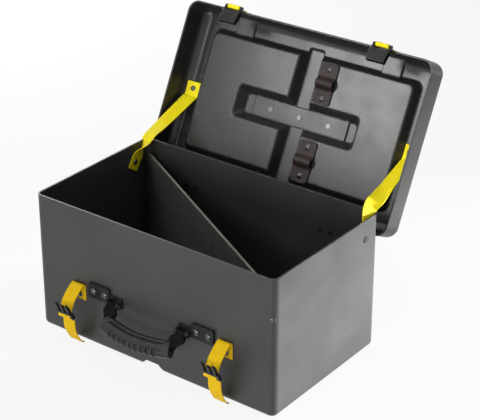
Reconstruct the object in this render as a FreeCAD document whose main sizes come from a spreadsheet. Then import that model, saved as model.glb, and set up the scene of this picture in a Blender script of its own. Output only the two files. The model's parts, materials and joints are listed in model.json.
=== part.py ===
import FreeCAD, Part
import math
import os
import re

os.makedirs("parts", exist_ok=True)
doc = FreeCAD.newDocument("hard_case")
sheet = doc.addObject("Spreadsheet::Sheet", "Sizes")
Vector = FreeCAD.Vector
Rotation = FreeCAD.Rotation
Placement = FreeCAD.Placement
X_AXIS = Vector(1, 0, 0)
Y_AXIS = Vector(0, 1, 0)
Z_AXIS = Vector(0, 0, 1)


class Named:
    pass


S = Named()
aliases = []


def put(alias, number):
    aliases.append(alias)
    sheet.set("A%d" % len(aliases), alias)
    sheet.set("B%d" % len(aliases), repr(float(number)))
    sheet.setAlias("B%d" % len(aliases), alias)
    setattr(S, alias, float(number))


# Driving sizes in millimetres
SIZES = {
    # Base tub
    "case_length": 480,
    "case_depth": 280,
    "base_height": 242,
    "base_wall": 3.2,
    "corner_radius": 12,
    "bottom_radius": 9,
    "channel_depth": 12,
    "channel_foot_half": 26,
    "channel_crown_half": 12,
    "table_half_length": 124,
    "table_half_depth": 28.5,
    "table_draft": 11.5,
    # Lid
    "lid_wall": 3,
    "lid_side_gap": 4,
    "lid_back_gap": 2.3,
    "swing_clearance": 0.6,
    "lid_overlap": 41,
    "lid_height": 53.3,
    "lid_corner_radius": 20,
    "lid_top_radius": 20,
    "panel_side_margin": 36.5,
    "panel_front_margin": 37,
    "panel_back_margin": 39,
    "panel_rise": 15.5,
    "panel_draft": 7.5,
    "bridge_half": 22.7,
    "bridge_floor_half": 13.4,
    "cross_rise": 5.7,
    "panel_corner": 14,
    "bridge_corner": 5,
    "table_corner": 9,
    "relief_round": 4,
    "floor_round": 3,
    "badge_half_length": 94.5,
    "badge_half_depth": 15,
    "badge_sink": 3,
    "badge_margin": 2,
    "badge_thickness": 1.5,
    "recess_half": 16,
    "recess_depth": 4,
    "recess_reach": 28,
    # Hinges
    "hinge_inset": 90,
    "leaf_thickness": 1.2,
    "leaf_length": 60,
    "leaf_drop": 32,
    "hinge_rim_gap": 0.3,
    "knuckle_gap": 0.3,
    "hinge_pin_radius": 1.3,
    "pin_clearance": 0.03,
    "leaf_rivet_offset": 20,
    "leaf_rivet_drop": 20,
    # Rivets
    "head_radius": 5.5,
    "head_height": 2.4,
    "shank_radius": 1.9,
    "tail_radius": 4.5,
    "tail_height": 1.2,
    "flat_tail_height": 0.5,
    "small_head_radius": 4,
    "small_head_height": 1.4,
    "hole_clearance": 0.1,
    "tube_hole_radius": 1.1,
    # Webbing and latches
    "web_width": 25,
    "web_thickness": 1.6,
    "web_gap": 0.3,
    "latch_x": 150,
    "anchor_length": 27,
    "anchor_rivet_drop": 16,
    "latch_drop": 97,
    "fold_radius": 3,
    "drop_sag": 5,
    "bar_radius": 2,
    "buckle_half": 17,
    "arm_width": 4,
    "arm_foot": 3,
    "buckle_thickness": 6,
    "cross_low": 5.5,
    "shoulder": 9.5,
    "prong_tip": 27,
    "prong_in": 9,
    "prong_out": 13.2,
    "barb_out": 14.2,
    "barb_low": 17,
    "barb_high": 23,
    "prong_thickness": 5,
    "guide_half": 2.5,
    "guide_tip": 24,
    "tail_mid_out": 25,
    "tail_mid_drop": 77,
    "tail_end_out": 9,
    "tail_end_drop": 100.5,
    # Lid webbing and female buckles
    "loop_drop": 5,
    "female_half": 17.5,
    "female_arm_in": 13.4,
    "female_thickness": 10,
    "female_arm_thickness": 6,
    "female_top": 8,
    "female_length": 31,
    "mate_gap": 0.5,
    "buckle_clearance": 0.5,
    "tip_clearance": 1.5,
    "window_low": 14,
    "window_high": 24,
    "window_height": 6,
    "female_round": 2,
    "lid_rivet_rise": 27,
    # Handle
    "plate_in": 84,
    "plate_out": 128,
    "plate_low": 92,
    "plate_high": 118,
    "plate_thickness": 5,
    "plate_round": 3,
    "tongue_in": 58,
    "tongue_drop": 2,
    "tongue_high": 108,
    "tongue_thickness": 3,
    "lug_width": 4,
    "lug_radius": 5,
    "eye_radius": 4.3,
    "eye_gap": 0.3,
    "handle_standoff": 10.5,
    "handle_axis_z": 98,
    "handle_pin_radius": 2,
    "core_thickness": 3,
    "core_straight": 7,
    "core_foot_in": 44,
    "core_foot_out": 64,
    "core_bar_low": 29,
    "core_bar_high": 37,
    "grip_half": 64,
    "grip_end": 31,
    "grip_bow": 9.5,
    "grip_semi_long": 14.5,
    "grip_semi_short": 10.5,
    "ridge_depth": 2.2,
    "ridge_length": 7,
    "ridge_pitch": 11,
    "handle_rivet_in": 94,
    "handle_rivet_out": 117.5,
    "handle_rivet_z": 104,
    # Stays
    "stay_rivet_in": 37,
    "stay_rivet_drop": 33.5,
    "stay_end_run": 14,
    "stay_top_run": 7,
    "stay_rim_in": 18,
    "stay_rim_back_in": 6,
    "stay_rim_lift": 4,
    "stay_lid_in": 15,
    "stay_lid_y": 3,
    "stay_lid_run": 12,
    "stay_lid_gap": 0.3,
    # Divider
    "divider_thickness": 4,
    "divider_top_drop": 25,
    "divider_clearance": 0.3,
    "divider_rivet_drop": 69,
    "bracket_length": 15,
    "bracket_cheek": 3,
    "bracket_half_height": 32,
    "bracket_web": 3,
    "bracket_tail_room": 2,
    "bracket_nose_radius": 1.4,
    "bracket_nose": 0.4,
    "bracket_bite": 2,
    # Leather holders
    "holder_x": 44,
    "holder_width": 34,
    "holder_end_margin": 11,
    "holder_thickness": 3,
    "holder_upper_shift": 1.25,
    "holder_lower_shift": 2.25,
    "holder_rivet_margin": 11.25,
    "tunnel_radius": 5,
    "tunnel_leg": 3.5,
}
# Driving angles in degrees
ANGLES = {
    "open_angle": 116.7,
    "latch_droop_angle": 38,
    "prong_tilt_angle": 24,
    "buckle_fold_angle": 70.5,
    "handle_droop_angle": 48,
    "stay_lid_tilt_angle": 10,
}
SHARES = {
    "skin_share": 0.63,
}
for table in (SIZES, ANGLES, SHARES):
    for alias, number in table.items():
        put(alias, number)

# Values that follow from the sizes above
put("rim_z", S.base_height - S.lid_overlap)
put("lid_back", S.case_depth / 2 + S.lid_back_gap + S.lid_wall)
put("hinge_x", S.case_length / 2 - S.hinge_inset)
put("knuckle_radius", (S.lid_back_gap + S.lid_wall + S.leaf_thickness) / 2)
put("hinge_y", S.case_depth / 2 + S.knuckle_radius)
put("hinge_z", S.rim_z - S.knuckle_radius - S.hinge_rim_gap)
rim_reach = math.hypot(S.hinge_y + S.case_depth / 2, S.base_height - S.hinge_z)
put("lid_front", rim_reach + S.swing_clearance - S.hinge_y + S.lid_wall)
put("lid_half", S.case_length / 2 + S.lid_side_gap + S.lid_wall)
put("panel_half_length", S.case_length / 2 - S.panel_side_margin)
put("panel_front", S.case_depth / 2 - S.panel_front_margin)
put("panel_back", S.case_depth / 2 - S.panel_back_margin)
put("recess_start", S.case_depth / 2 - S.recess_reach)
put("lid_top", S.rim_z + S.lid_height)
put("strip_z", S.lid_top - S.lid_wall)
put("crest_z", S.strip_z - S.panel_rise)
put("cross_z", S.strip_z + S.cross_rise)
put("skin", S.lid_wall * S.skin_share)
put("loop_radius", S.bar_radius + S.web_gap)
put("loop_y", S.lid_front + S.loop_radius + S.web_thickness)
put("loop_z", S.rim_z - S.loop_drop)
put("lid_rivet_z", S.rim_z + S.lid_rivet_rise)
put("latch_axis_y", S.case_depth / 2 + S.web_thickness + S.web_gap + S.fold_radius)
put("latch_axis_z", S.rim_z - S.latch_drop)
put("anchor_low", S.latch_axis_z - S.anchor_length)
put("anchor_rivet_z", S.latch_axis_z - S.anchor_rivet_drop)
put("tail_mid_y", S.case_depth / 2 + S.tail_mid_out)
put("tail_mid_z", S.latch_axis_z - S.tail_mid_drop)
put("tail_end_y", S.case_depth / 2 + S.tail_end_out)
put("tail_end_z", S.latch_axis_z - S.tail_end_drop)
put("bar_mated_z", S.loop_z - S.female_length - S.mate_gap - S.shoulder)
put("drop_length", math.hypot(S.loop_y - S.latch_axis_y, S.bar_mated_z - S.latch_axis_z))
droop = math.radians(S.latch_droop_angle)
put("bar_y", S.latch_axis_y + S.drop_length * math.sin(droop))
put("bar_z", S.latch_axis_z - S.drop_length * math.cos(droop))
put("socket_half", S.barb_out + S.buckle_clearance)
put("socket_height", S.prong_thickness + 2 * S.buckle_clearance)
put("socket_end", S.female_length + S.mate_gap + S.shoulder - S.prong_tip - S.tip_clearance)
put("handle_axis_y", S.case_depth / 2 + S.handle_standoff)
put("tongue_low", S.plate_low - S.tongue_drop)
put("stay_reach", S.case_length / 2 - S.base_wall)
put("stay_rivet_y", S.case_depth / 2 - S.stay_rivet_in)
put("stay_rivet_z", S.base_height - S.stay_rivet_drop)
put("stay_rim_x", S.case_length / 2 - S.stay_rim_in)
put("stay_rim_y", S.case_depth / 2 - S.stay_rim_back_in)
put("stay_lid_x", S.case_length / 2 - S.stay_lid_in)
put("divider_top", S.base_height - S.divider_top_drop)
put("divider_rivet_z", S.base_height - S.divider_rivet_drop)
put("holder_upper_y", (S.panel_front + S.table_half_depth) / 2 + S.holder_upper_shift)
put("holder_lower_y", (S.panel_back + S.table_half_depth) / 2 + S.holder_lower_shift)
put("holder_rivet_half", (S.panel_back - S.table_half_depth) / 2 - S.holder_rivet_margin)
put("holder_length", 2 * (S.holder_rivet_half + S.holder_end_margin))

doc.recompute()
WORD = re.compile(r"\b(" + "|".join(sorted(aliases, key=len, reverse=True)) + r")\b")


def bind(obj, prop, text):
    obj.setExpression(prop, WORD.sub(r"Sizes.\1", text))


def seat(obj, x, y, z):
    bind(obj, "Placement.Base.x", x)
    bind(obj, "Placement.Base.y", y)
    bind(obj, "Placement.Base.z", z)


def box(name, x, y, z, length, width, height):
    obj = doc.addObject("Part::Box", name)
    bind(obj, "Length", length)
    bind(obj, "Width", width)
    bind(obj, "Height", height)
    seat(obj, x, y, z)
    return obj


def cylinder(name, axis, x, y, z, radius, height):
    obj = doc.addObject("Part::Cylinder", name)
    obj.Placement = Placement(Vector(0, 0, 0), Rotation(Z_AXIS, axis))
    bind(obj, "Radius", radius)
    bind(obj, "Height", height)
    seat(obj, x, y, z)
    return obj


def frustum(name, low, high, z0, z1):
    # low and high hold x from, x to, y from, y to at the two levels
    obj = doc.addObject("Part::Wedge", name)
    obj.Placement = Placement(Vector(0, 0, 0), Rotation(X_AXIS, 90))
    bind(obj, "Ymin", z0)
    bind(obj, "Ymax", z1)
    bind(obj, "Xmin", low[0])
    bind(obj, "Xmax", low[1])
    bind(obj, "Zmin", "-(%s)" % low[3])
    bind(obj, "Zmax", "-(%s)" % low[2])
    bind(obj, "X2min", high[0])
    bind(obj, "X2max", high[1])
    bind(obj, "Z2min", "-(%s)" % high[3])
    bind(obj, "Z2max", "-(%s)" % high[2])
    return obj


def fuse(name, objects):
    obj = doc.addObject("Part::MultiFuse", name)
    obj.Shapes = objects
    return obj


def cut(name, base, tools):
    tool = tools[0]
    if len(tools) > 1:
        tool = doc.addObject("Part::Compound", name + "_tools")
        tool.Links = tools
    obj = doc.addObject("Part::Cut", name)
    obj.Base = base
    obj.Tool = tool
    return obj


def common(name, base, tool):
    obj = doc.addObject("Part::Common", name)
    obj.Base = base
    obj.Tool = tool
    return obj


def fillet(name, base, radius, pick):
    doc.recompute()
    obj = doc.addObject("Part::Fillet", name)
    obj.Base = base
    picked = []
    for index, edge in enumerate(base.Shape.Edges, 1):
        if pick(edge):
            picked.append((index, radius, radius))
    obj.Edges = picked
    return obj


def solid(name, shape):
    obj = doc.addObject("Part::Feature", name)
    obj.Shape = shape
    return obj


def upright(edge):
    bounds = edge.BoundBox
    return bounds.ZLength > bounds.XLength + bounds.YLength


def sloped(edge):
    return edge.BoundBox.ZLength > S.web_gap


def level(z):
    def pick(edge):
        bounds = edge.BoundBox
        return abs(bounds.ZMin - z) + abs(bounds.ZMax - z) < S.web_gap
    return pick


def panel_mouth(z):
    # The closed loop round both panels, inside the flat strip at that level
    limit = S.panel_half_length + 2 * S.panel_draft

    def pick(edge):
        bounds = edge.BoundBox
        reach = max(-bounds.YMin - S.panel_front, bounds.YMax - S.panel_back)
        return level(z)(edge) and abs(bounds.Center.x) < limit and reach < 2 * S.panel_draft
    return pick


nodes = []


def node(obj, label, placement=None):
    obj.Label = label
    if placement is not None:
        obj.Placement = placement.multiply(obj.Placement)
    nodes.append(obj)
    return obj


HINGE = Vector(0, S.hinge_y, S.hinge_z)
OPEN = Placement(Vector(0, 0, 0), Rotation(X_AXIS, -S.open_angle), HINGE)
LOOP = Vector(0, -S.loop_y, S.loop_z)
FOLDED = OPEN.multiply(Placement(Vector(0, 0, 0), Rotation(X_AXIS, S.buckle_fold_angle), LOOP))
SIDES = (("left", -1), ("right", 1))


# Rivets: a domed head, a shank and a tail turned round one axis
def rivet(stack, head_radius, head_height, tail_radius, tail_height, bore=0):
    ball = (head_radius ** 2 + head_height ** 2) / (2 * head_height)
    spread = math.asin(head_radius / ball) / 2
    mid = Vector(ball * math.sin(spread), 0, head_height - ball * (1 - math.cos(spread)))
    top = Vector(0, 0, head_height)
    rim = Vector(head_radius, 0, 0)
    shank = S.shank_radius
    low = -stack - tail_height
    corners = [rim, Vector(shank, 0, 0), Vector(shank, 0, -stack), Vector(tail_radius, 0, -stack)]
    corners += [Vector(tail_radius, 0, low), Vector(0, 0, low), top]
    edges = [Part.Arc(top, mid, rim).toShape()]
    for start, end in zip(corners, corners[1:]):
        edges.append(Part.makeLine(start, end))
    shape = Part.Face(Part.Wire(edges)).revolve(Vector(0, 0, 0), Z_AXIS, 360)
    if bore > 0:
        shape = shape.cut(Part.makeCylinder(bore, head_height + stack + tail_height, Vector(0, 0, low)))
    return shape


def rivets(name, shape, places):
    copies = []
    for point, direction in places:
        copy = shape.copy()
        copy.Placement = Placement(point, Rotation(Z_AXIS, direction))
        copies.append(copy)
    return solid(name, Part.makeCompound(copies))


def holes(name, stack, places):
    drills = []
    reach = stack + 2 * S.tail_height
    for point, direction in places:
        start = point + direction * S.tail_height
        drills.append(Part.makeCylinder(S.shank_radius + S.hole_clearance, reach, start, direction * -1))
    return solid(name, Part.makeCompound(drills))


FRONT = Vector(0, -1, 0)
BACK = Vector(0, 1, 0)
front_y = -S.case_depth / 2
back_y = S.case_depth / 2

handle_places = []
anchor_places = []
stay_base_places = []
stay_lid_places = []
leaf_base_places = []
leaf_lid_places = []
lid_web_places = []
for side, sign in SIDES:
    for x in (S.handle_rivet_in, S.handle_rivet_out):
        handle_places.append((Vector(sign * x, front_y - S.plate_thickness, S.handle_rivet_z), FRONT))
    anchor_places.append((Vector(sign * S.latch_x, front_y - S.web_thickness, S.anchor_rivet_z), FRONT))
    inner = Vector(sign * (S.stay_reach - S.web_thickness), S.stay_rivet_y, S.stay_rivet_z)
    stay_base_places.append((inner, Vector(-sign, 0, 0)))
    for step in (-1, 0, 1):
        x = sign * S.hinge_x + step * S.leaf_rivet_offset
        low = Vector(x, back_y + S.leaf_thickness, S.hinge_z - S.leaf_rivet_drop)
        high = Vector(x, S.lid_back + S.leaf_thickness, S.hinge_z + S.leaf_rivet_drop)
        leaf_base_places.append((low, BACK))
        leaf_lid_places.append((high, BACK))
    lid_web_places.append((Vector(sign * S.latch_x, -S.lid_front - S.web_thickness, S.lid_rivet_z), FRONT))
    tilt = math.radians(S.stay_lid_tilt_angle)
    stay_z = S.strip_z - S.stay_lid_gap - S.web_width / 2 * math.sin(tilt) - S.web_thickness
    stay_head_z = stay_z - S.head_radius * math.sin(tilt)
    stay_lid_places.append((Vector(sign * S.stay_lid_x, S.stay_lid_y, stay_head_z), Vector(0, 0, -1)))

# Divider end points lie where the corner diagonal meets the rounded inner corner
inner_radius = S.corner_radius - S.base_wall
inner_x = S.case_length / 2 - S.base_wall
inner_y = S.case_depth / 2 - S.base_wall
diagonal = Vector(inner_x, -inner_y, 0)
diagonal.normalize()
across = Vector(-diagonal.y, diagonal.x, 0)
centre = Vector(inner_x - inner_radius, -(inner_y - inner_radius), 0)
along = centre.dot(diagonal)
offset = centre.dot(across)
corner_reach = along + math.sqrt(inner_radius ** 2 - offset ** 2)
corner_normal = diagonal * corner_reach - centre
corner_normal.normalize()
divider_places = []
for sign in (1, -1):
    seat_point = (centre + corner_normal * S.corner_radius) * sign + Z_AXIS * S.divider_rivet_z
    divider_places.append((seat_point, corner_normal * sign))

holder_places = []
for middle in (-S.holder_upper_y, S.holder_lower_y):
    for step in (-1, 1):
        y = middle + step * S.holder_rivet_half
        holder_places.append((Vector(S.holder_x, y, S.crest_z - S.holder_thickness), Vector(0, 0, -1)))
badge_z = S.cross_z + S.lid_wall - S.badge_sink + S.badge_thickness
badge_places = []
for step in (-1, 0, 1):
    x = step * S.badge_half_length * S.skin_share
    badge_places.append((Vector(x, 0, badge_z), Z_AXIS))

handle_stack = S.plate_thickness + S.base_wall
anchor_stack = S.web_thickness + S.base_wall
stay_base_stack = S.web_thickness + S.base_wall
stay_lid_stack = S.lid_top - stay_head_z
leaf_base_stack = S.leaf_thickness + S.base_wall
leaf_lid_stack = S.leaf_thickness + S.lid_wall
lid_web_stack = S.web_thickness + S.lid_wall
divider_stack = S.base_wall + S.bracket_bite
holder_stack = S.holder_thickness + S.lid_wall
badge_stack = S.badge_thickness + S.lid_wall

handle_holes = holes("handle_holes", handle_stack, handle_places)
anchor_holes = holes("anchor_holes", anchor_stack, anchor_places)
stay_base_holes = holes("stay_base_holes", stay_base_stack, stay_base_places)
stay_lid_holes = holes("stay_lid_holes", stay_lid_stack, stay_lid_places)
leaf_base_holes = holes("leaf_base_holes", leaf_base_stack, leaf_base_places)
leaf_lid_holes = holes("leaf_lid_holes", leaf_lid_stack, leaf_lid_places)
lid_web_holes = holes("lid_web_holes", lid_web_stack, lid_web_places)
divider_holes = holes("divider_holes", divider_stack, divider_places)
holder_holes = holes("holder_holes", holder_stack, holder_places)
badge_holes = holes("badge_holes", badge_stack, badge_places)


# A box with rounded upright edges and one rounded end face
def rounded_box(name, bounds, corner, edge_radius, rounded_z):
    x, y, z, length, width, height = bounds
    block = box(name + "_block", x, y, z, length, width, height)
    posts = fillet(name + "_posts", block, corner, upright)
    return fillet(name + "_round", posts, edge_radius, level(rounded_z))


# Stacking cross: a channel from front to back and a rectangle in the middle
def cross(name, z0, z1, extra, front, back):
    grow = " + " + extra
    low_half = "channel_foot_half" + grow
    high_half = "channel_crown_half" + grow
    low = ("-(%s)" % low_half, low_half, front, back)
    high = ("-(%s)" % high_half, high_half, front, back)
    channel = frustum(name + "_channel", low, high, z0, z1)
    low_x = "table_half_length" + grow
    low_y = "table_half_depth" + grow
    high_x = "table_half_length - table_draft" + grow
    high_y = "table_half_depth - table_draft" + grow
    low = ("-(%s)" % low_x, low_x, "-(%s)" % low_y, low_y)
    high = ("-(%s)" % high_x, high_x, "-(%s)" % high_y, high_y)
    table = frustum(name + "_table", low, high, z0, z1)
    return [channel, table]


# Base tub
outer = rounded_box(
    "tub_outer",
    ("-case_length / 2", "-case_depth / 2", "0", "case_length", "case_depth", "base_height"),
    S.corner_radius, S.bottom_radius, 0)
inner = rounded_box(
    "tub_inner",
    ("base_wall - case_length / 2", "base_wall - case_depth / 2", "base_wall",
     "case_length - 2 * base_wall", "case_depth - 2 * base_wall", "base_height"),
    inner_radius, S.bottom_radius - S.base_wall, S.base_wall)
recess = cross("under_cross", "0", "channel_depth", "0 * base_wall", "-case_depth", "case_depth")
rise = cross("floor_cross", "0", "channel_depth + base_wall", "base_wall", "-case_depth", "case_depth")
tub_space = cut("tub_space", inner, [fuse("floor_rise", rise)])
tub_body = cut("tub_body", outer, [fuse("under_recess", recess)])
tub = cut("tub", tub_body, [tub_space])
base_drills = [handle_holes, anchor_holes, stay_base_holes, leaf_base_holes, divider_holes]
node(cut("base_shell", tub, base_drills), "base_shell")

# Divider board across the diagonal, notched over the raised floor
board_reach = corner_reach - S.bracket_web - S.bracket_tail_room
board = solid("board", Part.makeBox(
    2 * board_reach, S.divider_thickness, S.divider_top - S.base_wall - S.divider_clearance,
    Vector(-board_reach, -S.divider_thickness / 2, S.base_wall + S.divider_clearance)))
turn = math.degrees(math.atan2(diagonal.y, diagonal.x))
board.Placement = Placement(Vector(0, 0, 0), Rotation(Z_AXIS, turn))
notch = fuse("notch", cross("notch_cross", "0", "channel_depth + base_wall + divider_clearance",
                            "base_wall + divider_clearance", "-case_depth", "case_depth"))
foot_space = rounded_box(
    "foot_space",
    ("base_wall + divider_clearance - case_length / 2", "base_wall + divider_clearance - case_depth / 2",
     "base_wall + divider_clearance", "case_length - 2 * base_wall - 2 * divider_clearance",
     "case_depth - 2 * base_wall - 2 * divider_clearance", "base_height"),
    inner_radius - S.divider_clearance, S.bottom_radius - S.base_wall, S.base_wall + S.divider_clearance)
fitted_board = common("fitted_board", board, foot_space)
node(cut("divider_panel", fitted_board, [notch]), "divider_panel")

# Brackets that grip the board's ends in two corners
bracket_width = S.divider_thickness + 2 * S.divider_clearance + 2 * S.bracket_cheek
for label, sign in (("front", 1), ("back", -1)):
    far = corner_reach + S.corner_radius
    near = corner_reach - S.bracket_length
    low = S.divider_rivet_z - S.bracket_half_height
    height = 2 * S.bracket_half_height
    block = Part.makeBox(far - near, bracket_width, height, Vector(near, -bracket_width / 2, low))
    slot_width = S.divider_thickness + 2 * S.divider_clearance
    slot_end = corner_reach - S.bracket_web
    slot = Part.makeBox(slot_end - near, slot_width, height, Vector(near, -slot_width / 2, low))
    block = block.cut(slot)
    block.Placement = Placement(Vector(0, 0, 0), Rotation(Z_AXIS, turn + 90 - sign * 90))
    block_node = solid("bracket_block_" + label, block)
    corner_round = cylinder("bracket_round_" + label, Z_AXIS,
                            "%d * (case_length / 2 - corner_radius)" % sign,
                            "%d * (corner_radius - case_depth / 2)" % sign, "0",
                            "corner_radius - base_wall", "base_height")
    fitted = common("bracket_fit_" + label, block_node, corner_round)
    node(cut("divider_bracket_" + label, fitted, [divider_holes]), "divider_bracket_" + label)
divider_rivet = rivet(divider_stack, S.head_radius, S.head_height, S.bracket_nose_radius, S.bracket_nose)
node(rivets("divider_rivets", divider_rivet, divider_places), "divider_rivets")

# Lid shell in its closed place, opened by its placement
outer = rounded_box(
    "lid_outer",
    ("-lid_half", "-lid_front", "rim_z", "2 * lid_half", "lid_front + lid_back", "lid_height"),
    S.lid_corner_radius, S.lid_top_radius, S.lid_top)
inner = rounded_box(
    "lid_inner",
    ("lid_wall - lid_half", "lid_wall - lid_front", "rim_z - lid_wall", "2 * lid_half - 2 * lid_wall",
     "lid_front + lid_back - 2 * lid_wall", "lid_height"),
    S.lid_corner_radius - S.lid_wall, S.lid_top_radius - S.lid_wall, S.strip_z)


def panel_block(name, lift, inset):
    shift = " - " + inset
    low_x = "panel_half_length" + shift
    high_x = "panel_half_length + panel_draft" + shift
    low = ("-(%s)" % low_x, low_x, "-(panel_front%s)" % shift, "panel_back" + shift)
    high_front = "-(panel_front + panel_draft%s)" % shift
    high = ("-(%s)" % high_x, high_x, high_front, "panel_back + panel_draft" + shift)
    block = frustum(name, low, high, "crest_z + " + lift, "strip_z + " + lift)
    return fillet(name + "_round", block, S.panel_corner, sloped)


def lid_cross(name, lift, grow):
    plus = " + " + grow
    z0 = "crest_z + " + lift
    z1 = "cross_z + " + lift
    front = "lid_top_radius - lid_front"
    back = "lid_back - lid_top_radius"
    low_half = "bridge_half" + plus
    high_half = "bridge_floor_half" + plus
    low = ("-(%s)" % low_half, low_half, front + " - (" + grow + ")", back + plus)
    high_front = front + " + bridge_half - bridge_floor_half - (" + grow + ")"
    high_back = back + " - bridge_half + bridge_floor_half" + plus
    high = ("-(%s)" % high_half, high_half, high_front, high_back)
    bridge = frustum(name + "_bridge", low, high, z0, z1)
    bridge = fillet(name + "_bridge_round", bridge, S.bridge_corner, sloped)
    low_x = "table_half_length" + plus
    low_y = "table_half_depth" + plus
    high_x = "table_half_length - table_draft" + plus
    high_y = "table_half_depth - table_draft" + plus
    low = ("-(%s)" % low_x, low_x, "-(%s)" % low_y, low_y)
    high = ("-(%s)" % high_x, high_x, "-(%s)" % high_y, high_y)
    table = frustum(name + "_table", low, high, z0, z1)
    table = fillet(name + "_table_round", table, S.table_corner, sloped)
    return fuse(name, [bridge, table])


def strap_recess(name, lift, grow):
    parts = []
    for side, sign in SIDES:
        low_half = "recess_half + " + grow
        high_half = "recess_half + recess_depth / 2 + " + grow
        low = ("%d * latch_x - (%s)" % (sign, low_half), "%d * latch_x + (%s)" % (sign, low_half),
               "-2 * lid_front", "-(recess_start - (%s))" % grow)
        high = ("%d * latch_x - (%s)" % (sign, high_half), "%d * latch_x + (%s)" % (sign, high_half),
                "-2 * lid_front", "-(recess_start - recess_depth / 2 - (%s))" % grow)
        parts.append(frustum(name + "_" + side, low, high,
                             "strip_z - recess_depth + " + lift, "strip_z + lid_wall + " + lift))
    return parts


outer_cut = cut("lid_outer_cut", outer, [panel_block("pocket", "lid_wall", "skin")])
outer_cut = fillet("lid_outer_mouth", outer_cut, S.relief_round, panel_mouth(S.lid_top))
outer_cut = cut("lid_outer_recess", outer_cut, strap_recess("recess", "lid_wall", "0 * skin"))
outer_full = fuse("lid_outer_full", [outer_cut, lid_cross("rib", "lid_wall", "skin")])
outer_full = fillet("lid_outer_crest", outer_full, S.relief_round, level(S.crest_z + S.lid_wall))
outer_full = fillet("lid_outer_top", outer_full, S.floor_round, level(S.cross_z + S.lid_wall))
badge_seat = box("badge_seat", "-badge_half_length", "-badge_half_depth",
                 "cross_z + lid_wall - badge_sink", "2 * badge_half_length", "2 * badge_half_depth",
                 "2 * badge_sink")
outer_done = cut("lid_outer_done", outer_full, [badge_seat])
inner_cut = cut("lid_inner_cut", inner, [panel_block("panel", "0 * skin", "0 * skin")])
inner_cut = fillet("lid_inner_foot", inner_cut, S.relief_round, panel_mouth(S.strip_z))
inner_cut = cut("lid_inner_recess", inner_cut, strap_recess("bump", "0 * skin", "skin"))
inner_full = fuse("lid_inner_full", [inner_cut, lid_cross("groove", "0 * skin", "0 * skin")])
inner_full = fillet("lid_inner_crest", inner_full, S.relief_round, level(S.crest_z))
inner_full = fillet("lid_inner_floor", inner_full, S.floor_round, level(S.cross_z))
badge_boss = box("badge_boss", "-badge_half_length - skin", "-badge_half_depth - skin",
                 "cross_z - badge_sink", "2 * badge_half_length + 2 * skin",
                 "2 * badge_half_depth + 2 * skin", "2 * badge_sink")
inner_done = cut("lid_inner_done", inner_full, [badge_boss])
lid = cut("lid_hollow", outer_done, [inner_done])
lid_drills = [leaf_lid_holes, lid_web_holes, stay_lid_holes, holder_holes, badge_holes]
node(cut("lid_shell", lid, lid_drills), "lid_shell", OPEN)

plate = box("plate_block", "badge_margin - badge_half_length", "badge_margin - badge_half_depth",
            "cross_z + lid_wall - badge_sink", "2 * badge_half_length - 2 * badge_margin",
            "2 * badge_half_depth - 2 * badge_margin", "badge_thickness")
plate = fillet("plate_round_block", plate, S.badge_margin, upright)
node(cut("badge_plate", plate, [badge_holes]), "badge_plate", OPEN)
badge_rivet = rivet(badge_stack, S.small_head_radius, S.small_head_height, S.small_head_radius,
                    S.tail_height, S.tube_hole_radius)
node(rivets("badge_rivets", badge_rivet, badge_places), "badge_rivets", OPEN)

# Butt hinges: outer knuckles on the base leaf, the middle one on the lid leaf
for side, sign in SIDES:
    x0 = "%d * hinge_x - leaf_length / 2" % sign
    third = "leaf_length / 3"
    gap = "knuckle_gap"
    base_leaf = box("base_leaf_" + side, x0, "case_depth / 2", "hinge_z - leaf_drop", "leaf_length",
                    "leaf_thickness", "leaf_drop")
    slot = box("base_leaf_slot_" + side, x0 + " + " + third + " - " + gap, "case_depth / 2 - leaf_thickness",
               "hinge_z - knuckle_radius - " + gap, third + " + 2 * " + gap, "3 * leaf_thickness",
               "2 * knuckle_radius")
    ends = []
    for step in (0, 2):
        ends.append(cylinder("base_knuckle_%s_%d" % (side, step), X_AXIS,
                             x0 + " + %d * leaf_length / 3" % step, "hinge_y", "hinge_z",
                             "knuckle_radius", third))
    leaf = fuse("base_leaf_full_" + side, [cut("base_leaf_open_" + side, base_leaf, [slot])] + ends)
    bore = cylinder("base_bore_" + side, X_AXIS, x0 + " - " + gap, "hinge_y", "hinge_z",
                    "hinge_pin_radius + pin_clearance", "leaf_length + 2 * " + gap)
    node(cut("hinge_base_leaf_" + side, leaf, [bore, leaf_base_holes]), "hinge_base_leaf_" + side)
    lid_leaf = box("lid_leaf_" + side, x0, "lid_back", "hinge_z", "leaf_length", "leaf_thickness",
                   "leaf_drop")
    open_ends = []
    for step in (0, 2):
        open_ends.append(box("lid_leaf_slot_%s_%d" % (side, step),
                             x0 + " + %d * leaf_length / 3 - knuckle_gap" % step,
                             "lid_back - leaf_thickness", "hinge_z - leaf_thickness", third + " + 2 * " + gap,
                             "3 * leaf_thickness", "leaf_thickness + knuckle_radius + " + gap))
    middle = cylinder("lid_knuckle_" + side, X_AXIS, x0 + " + " + third + " + " + gap, "hinge_y",
                      "hinge_z", "knuckle_radius", third + " - 2 * " + gap)
    leaf = fuse("lid_leaf_full_" + side, [cut("lid_leaf_open_" + side, lid_leaf, open_ends), middle])
    bore = cylinder("lid_bore_" + side, X_AXIS, x0 + " - " + gap, "hinge_y", "hinge_z",
                    "hinge_pin_radius + pin_clearance", "leaf_length + 2 * " + gap)
    node(cut("hinge_lid_leaf_" + side, leaf, [bore, leaf_lid_holes]), "hinge_lid_leaf_" + side, OPEN)
    pin = cylinder("hinge_pin_" + side, X_AXIS, x0, "hinge_y", "hinge_z", "hinge_pin_radius", "leaf_length")
    node(pin, "hinge_pin_" + side)
leaf_rivet = rivet(leaf_base_stack, S.small_head_radius, S.small_head_height, S.tail_radius, S.tail_height)
node(rivets("hinge_base_rivets", leaf_rivet, leaf_base_places), "hinge_base_rivets")
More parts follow.
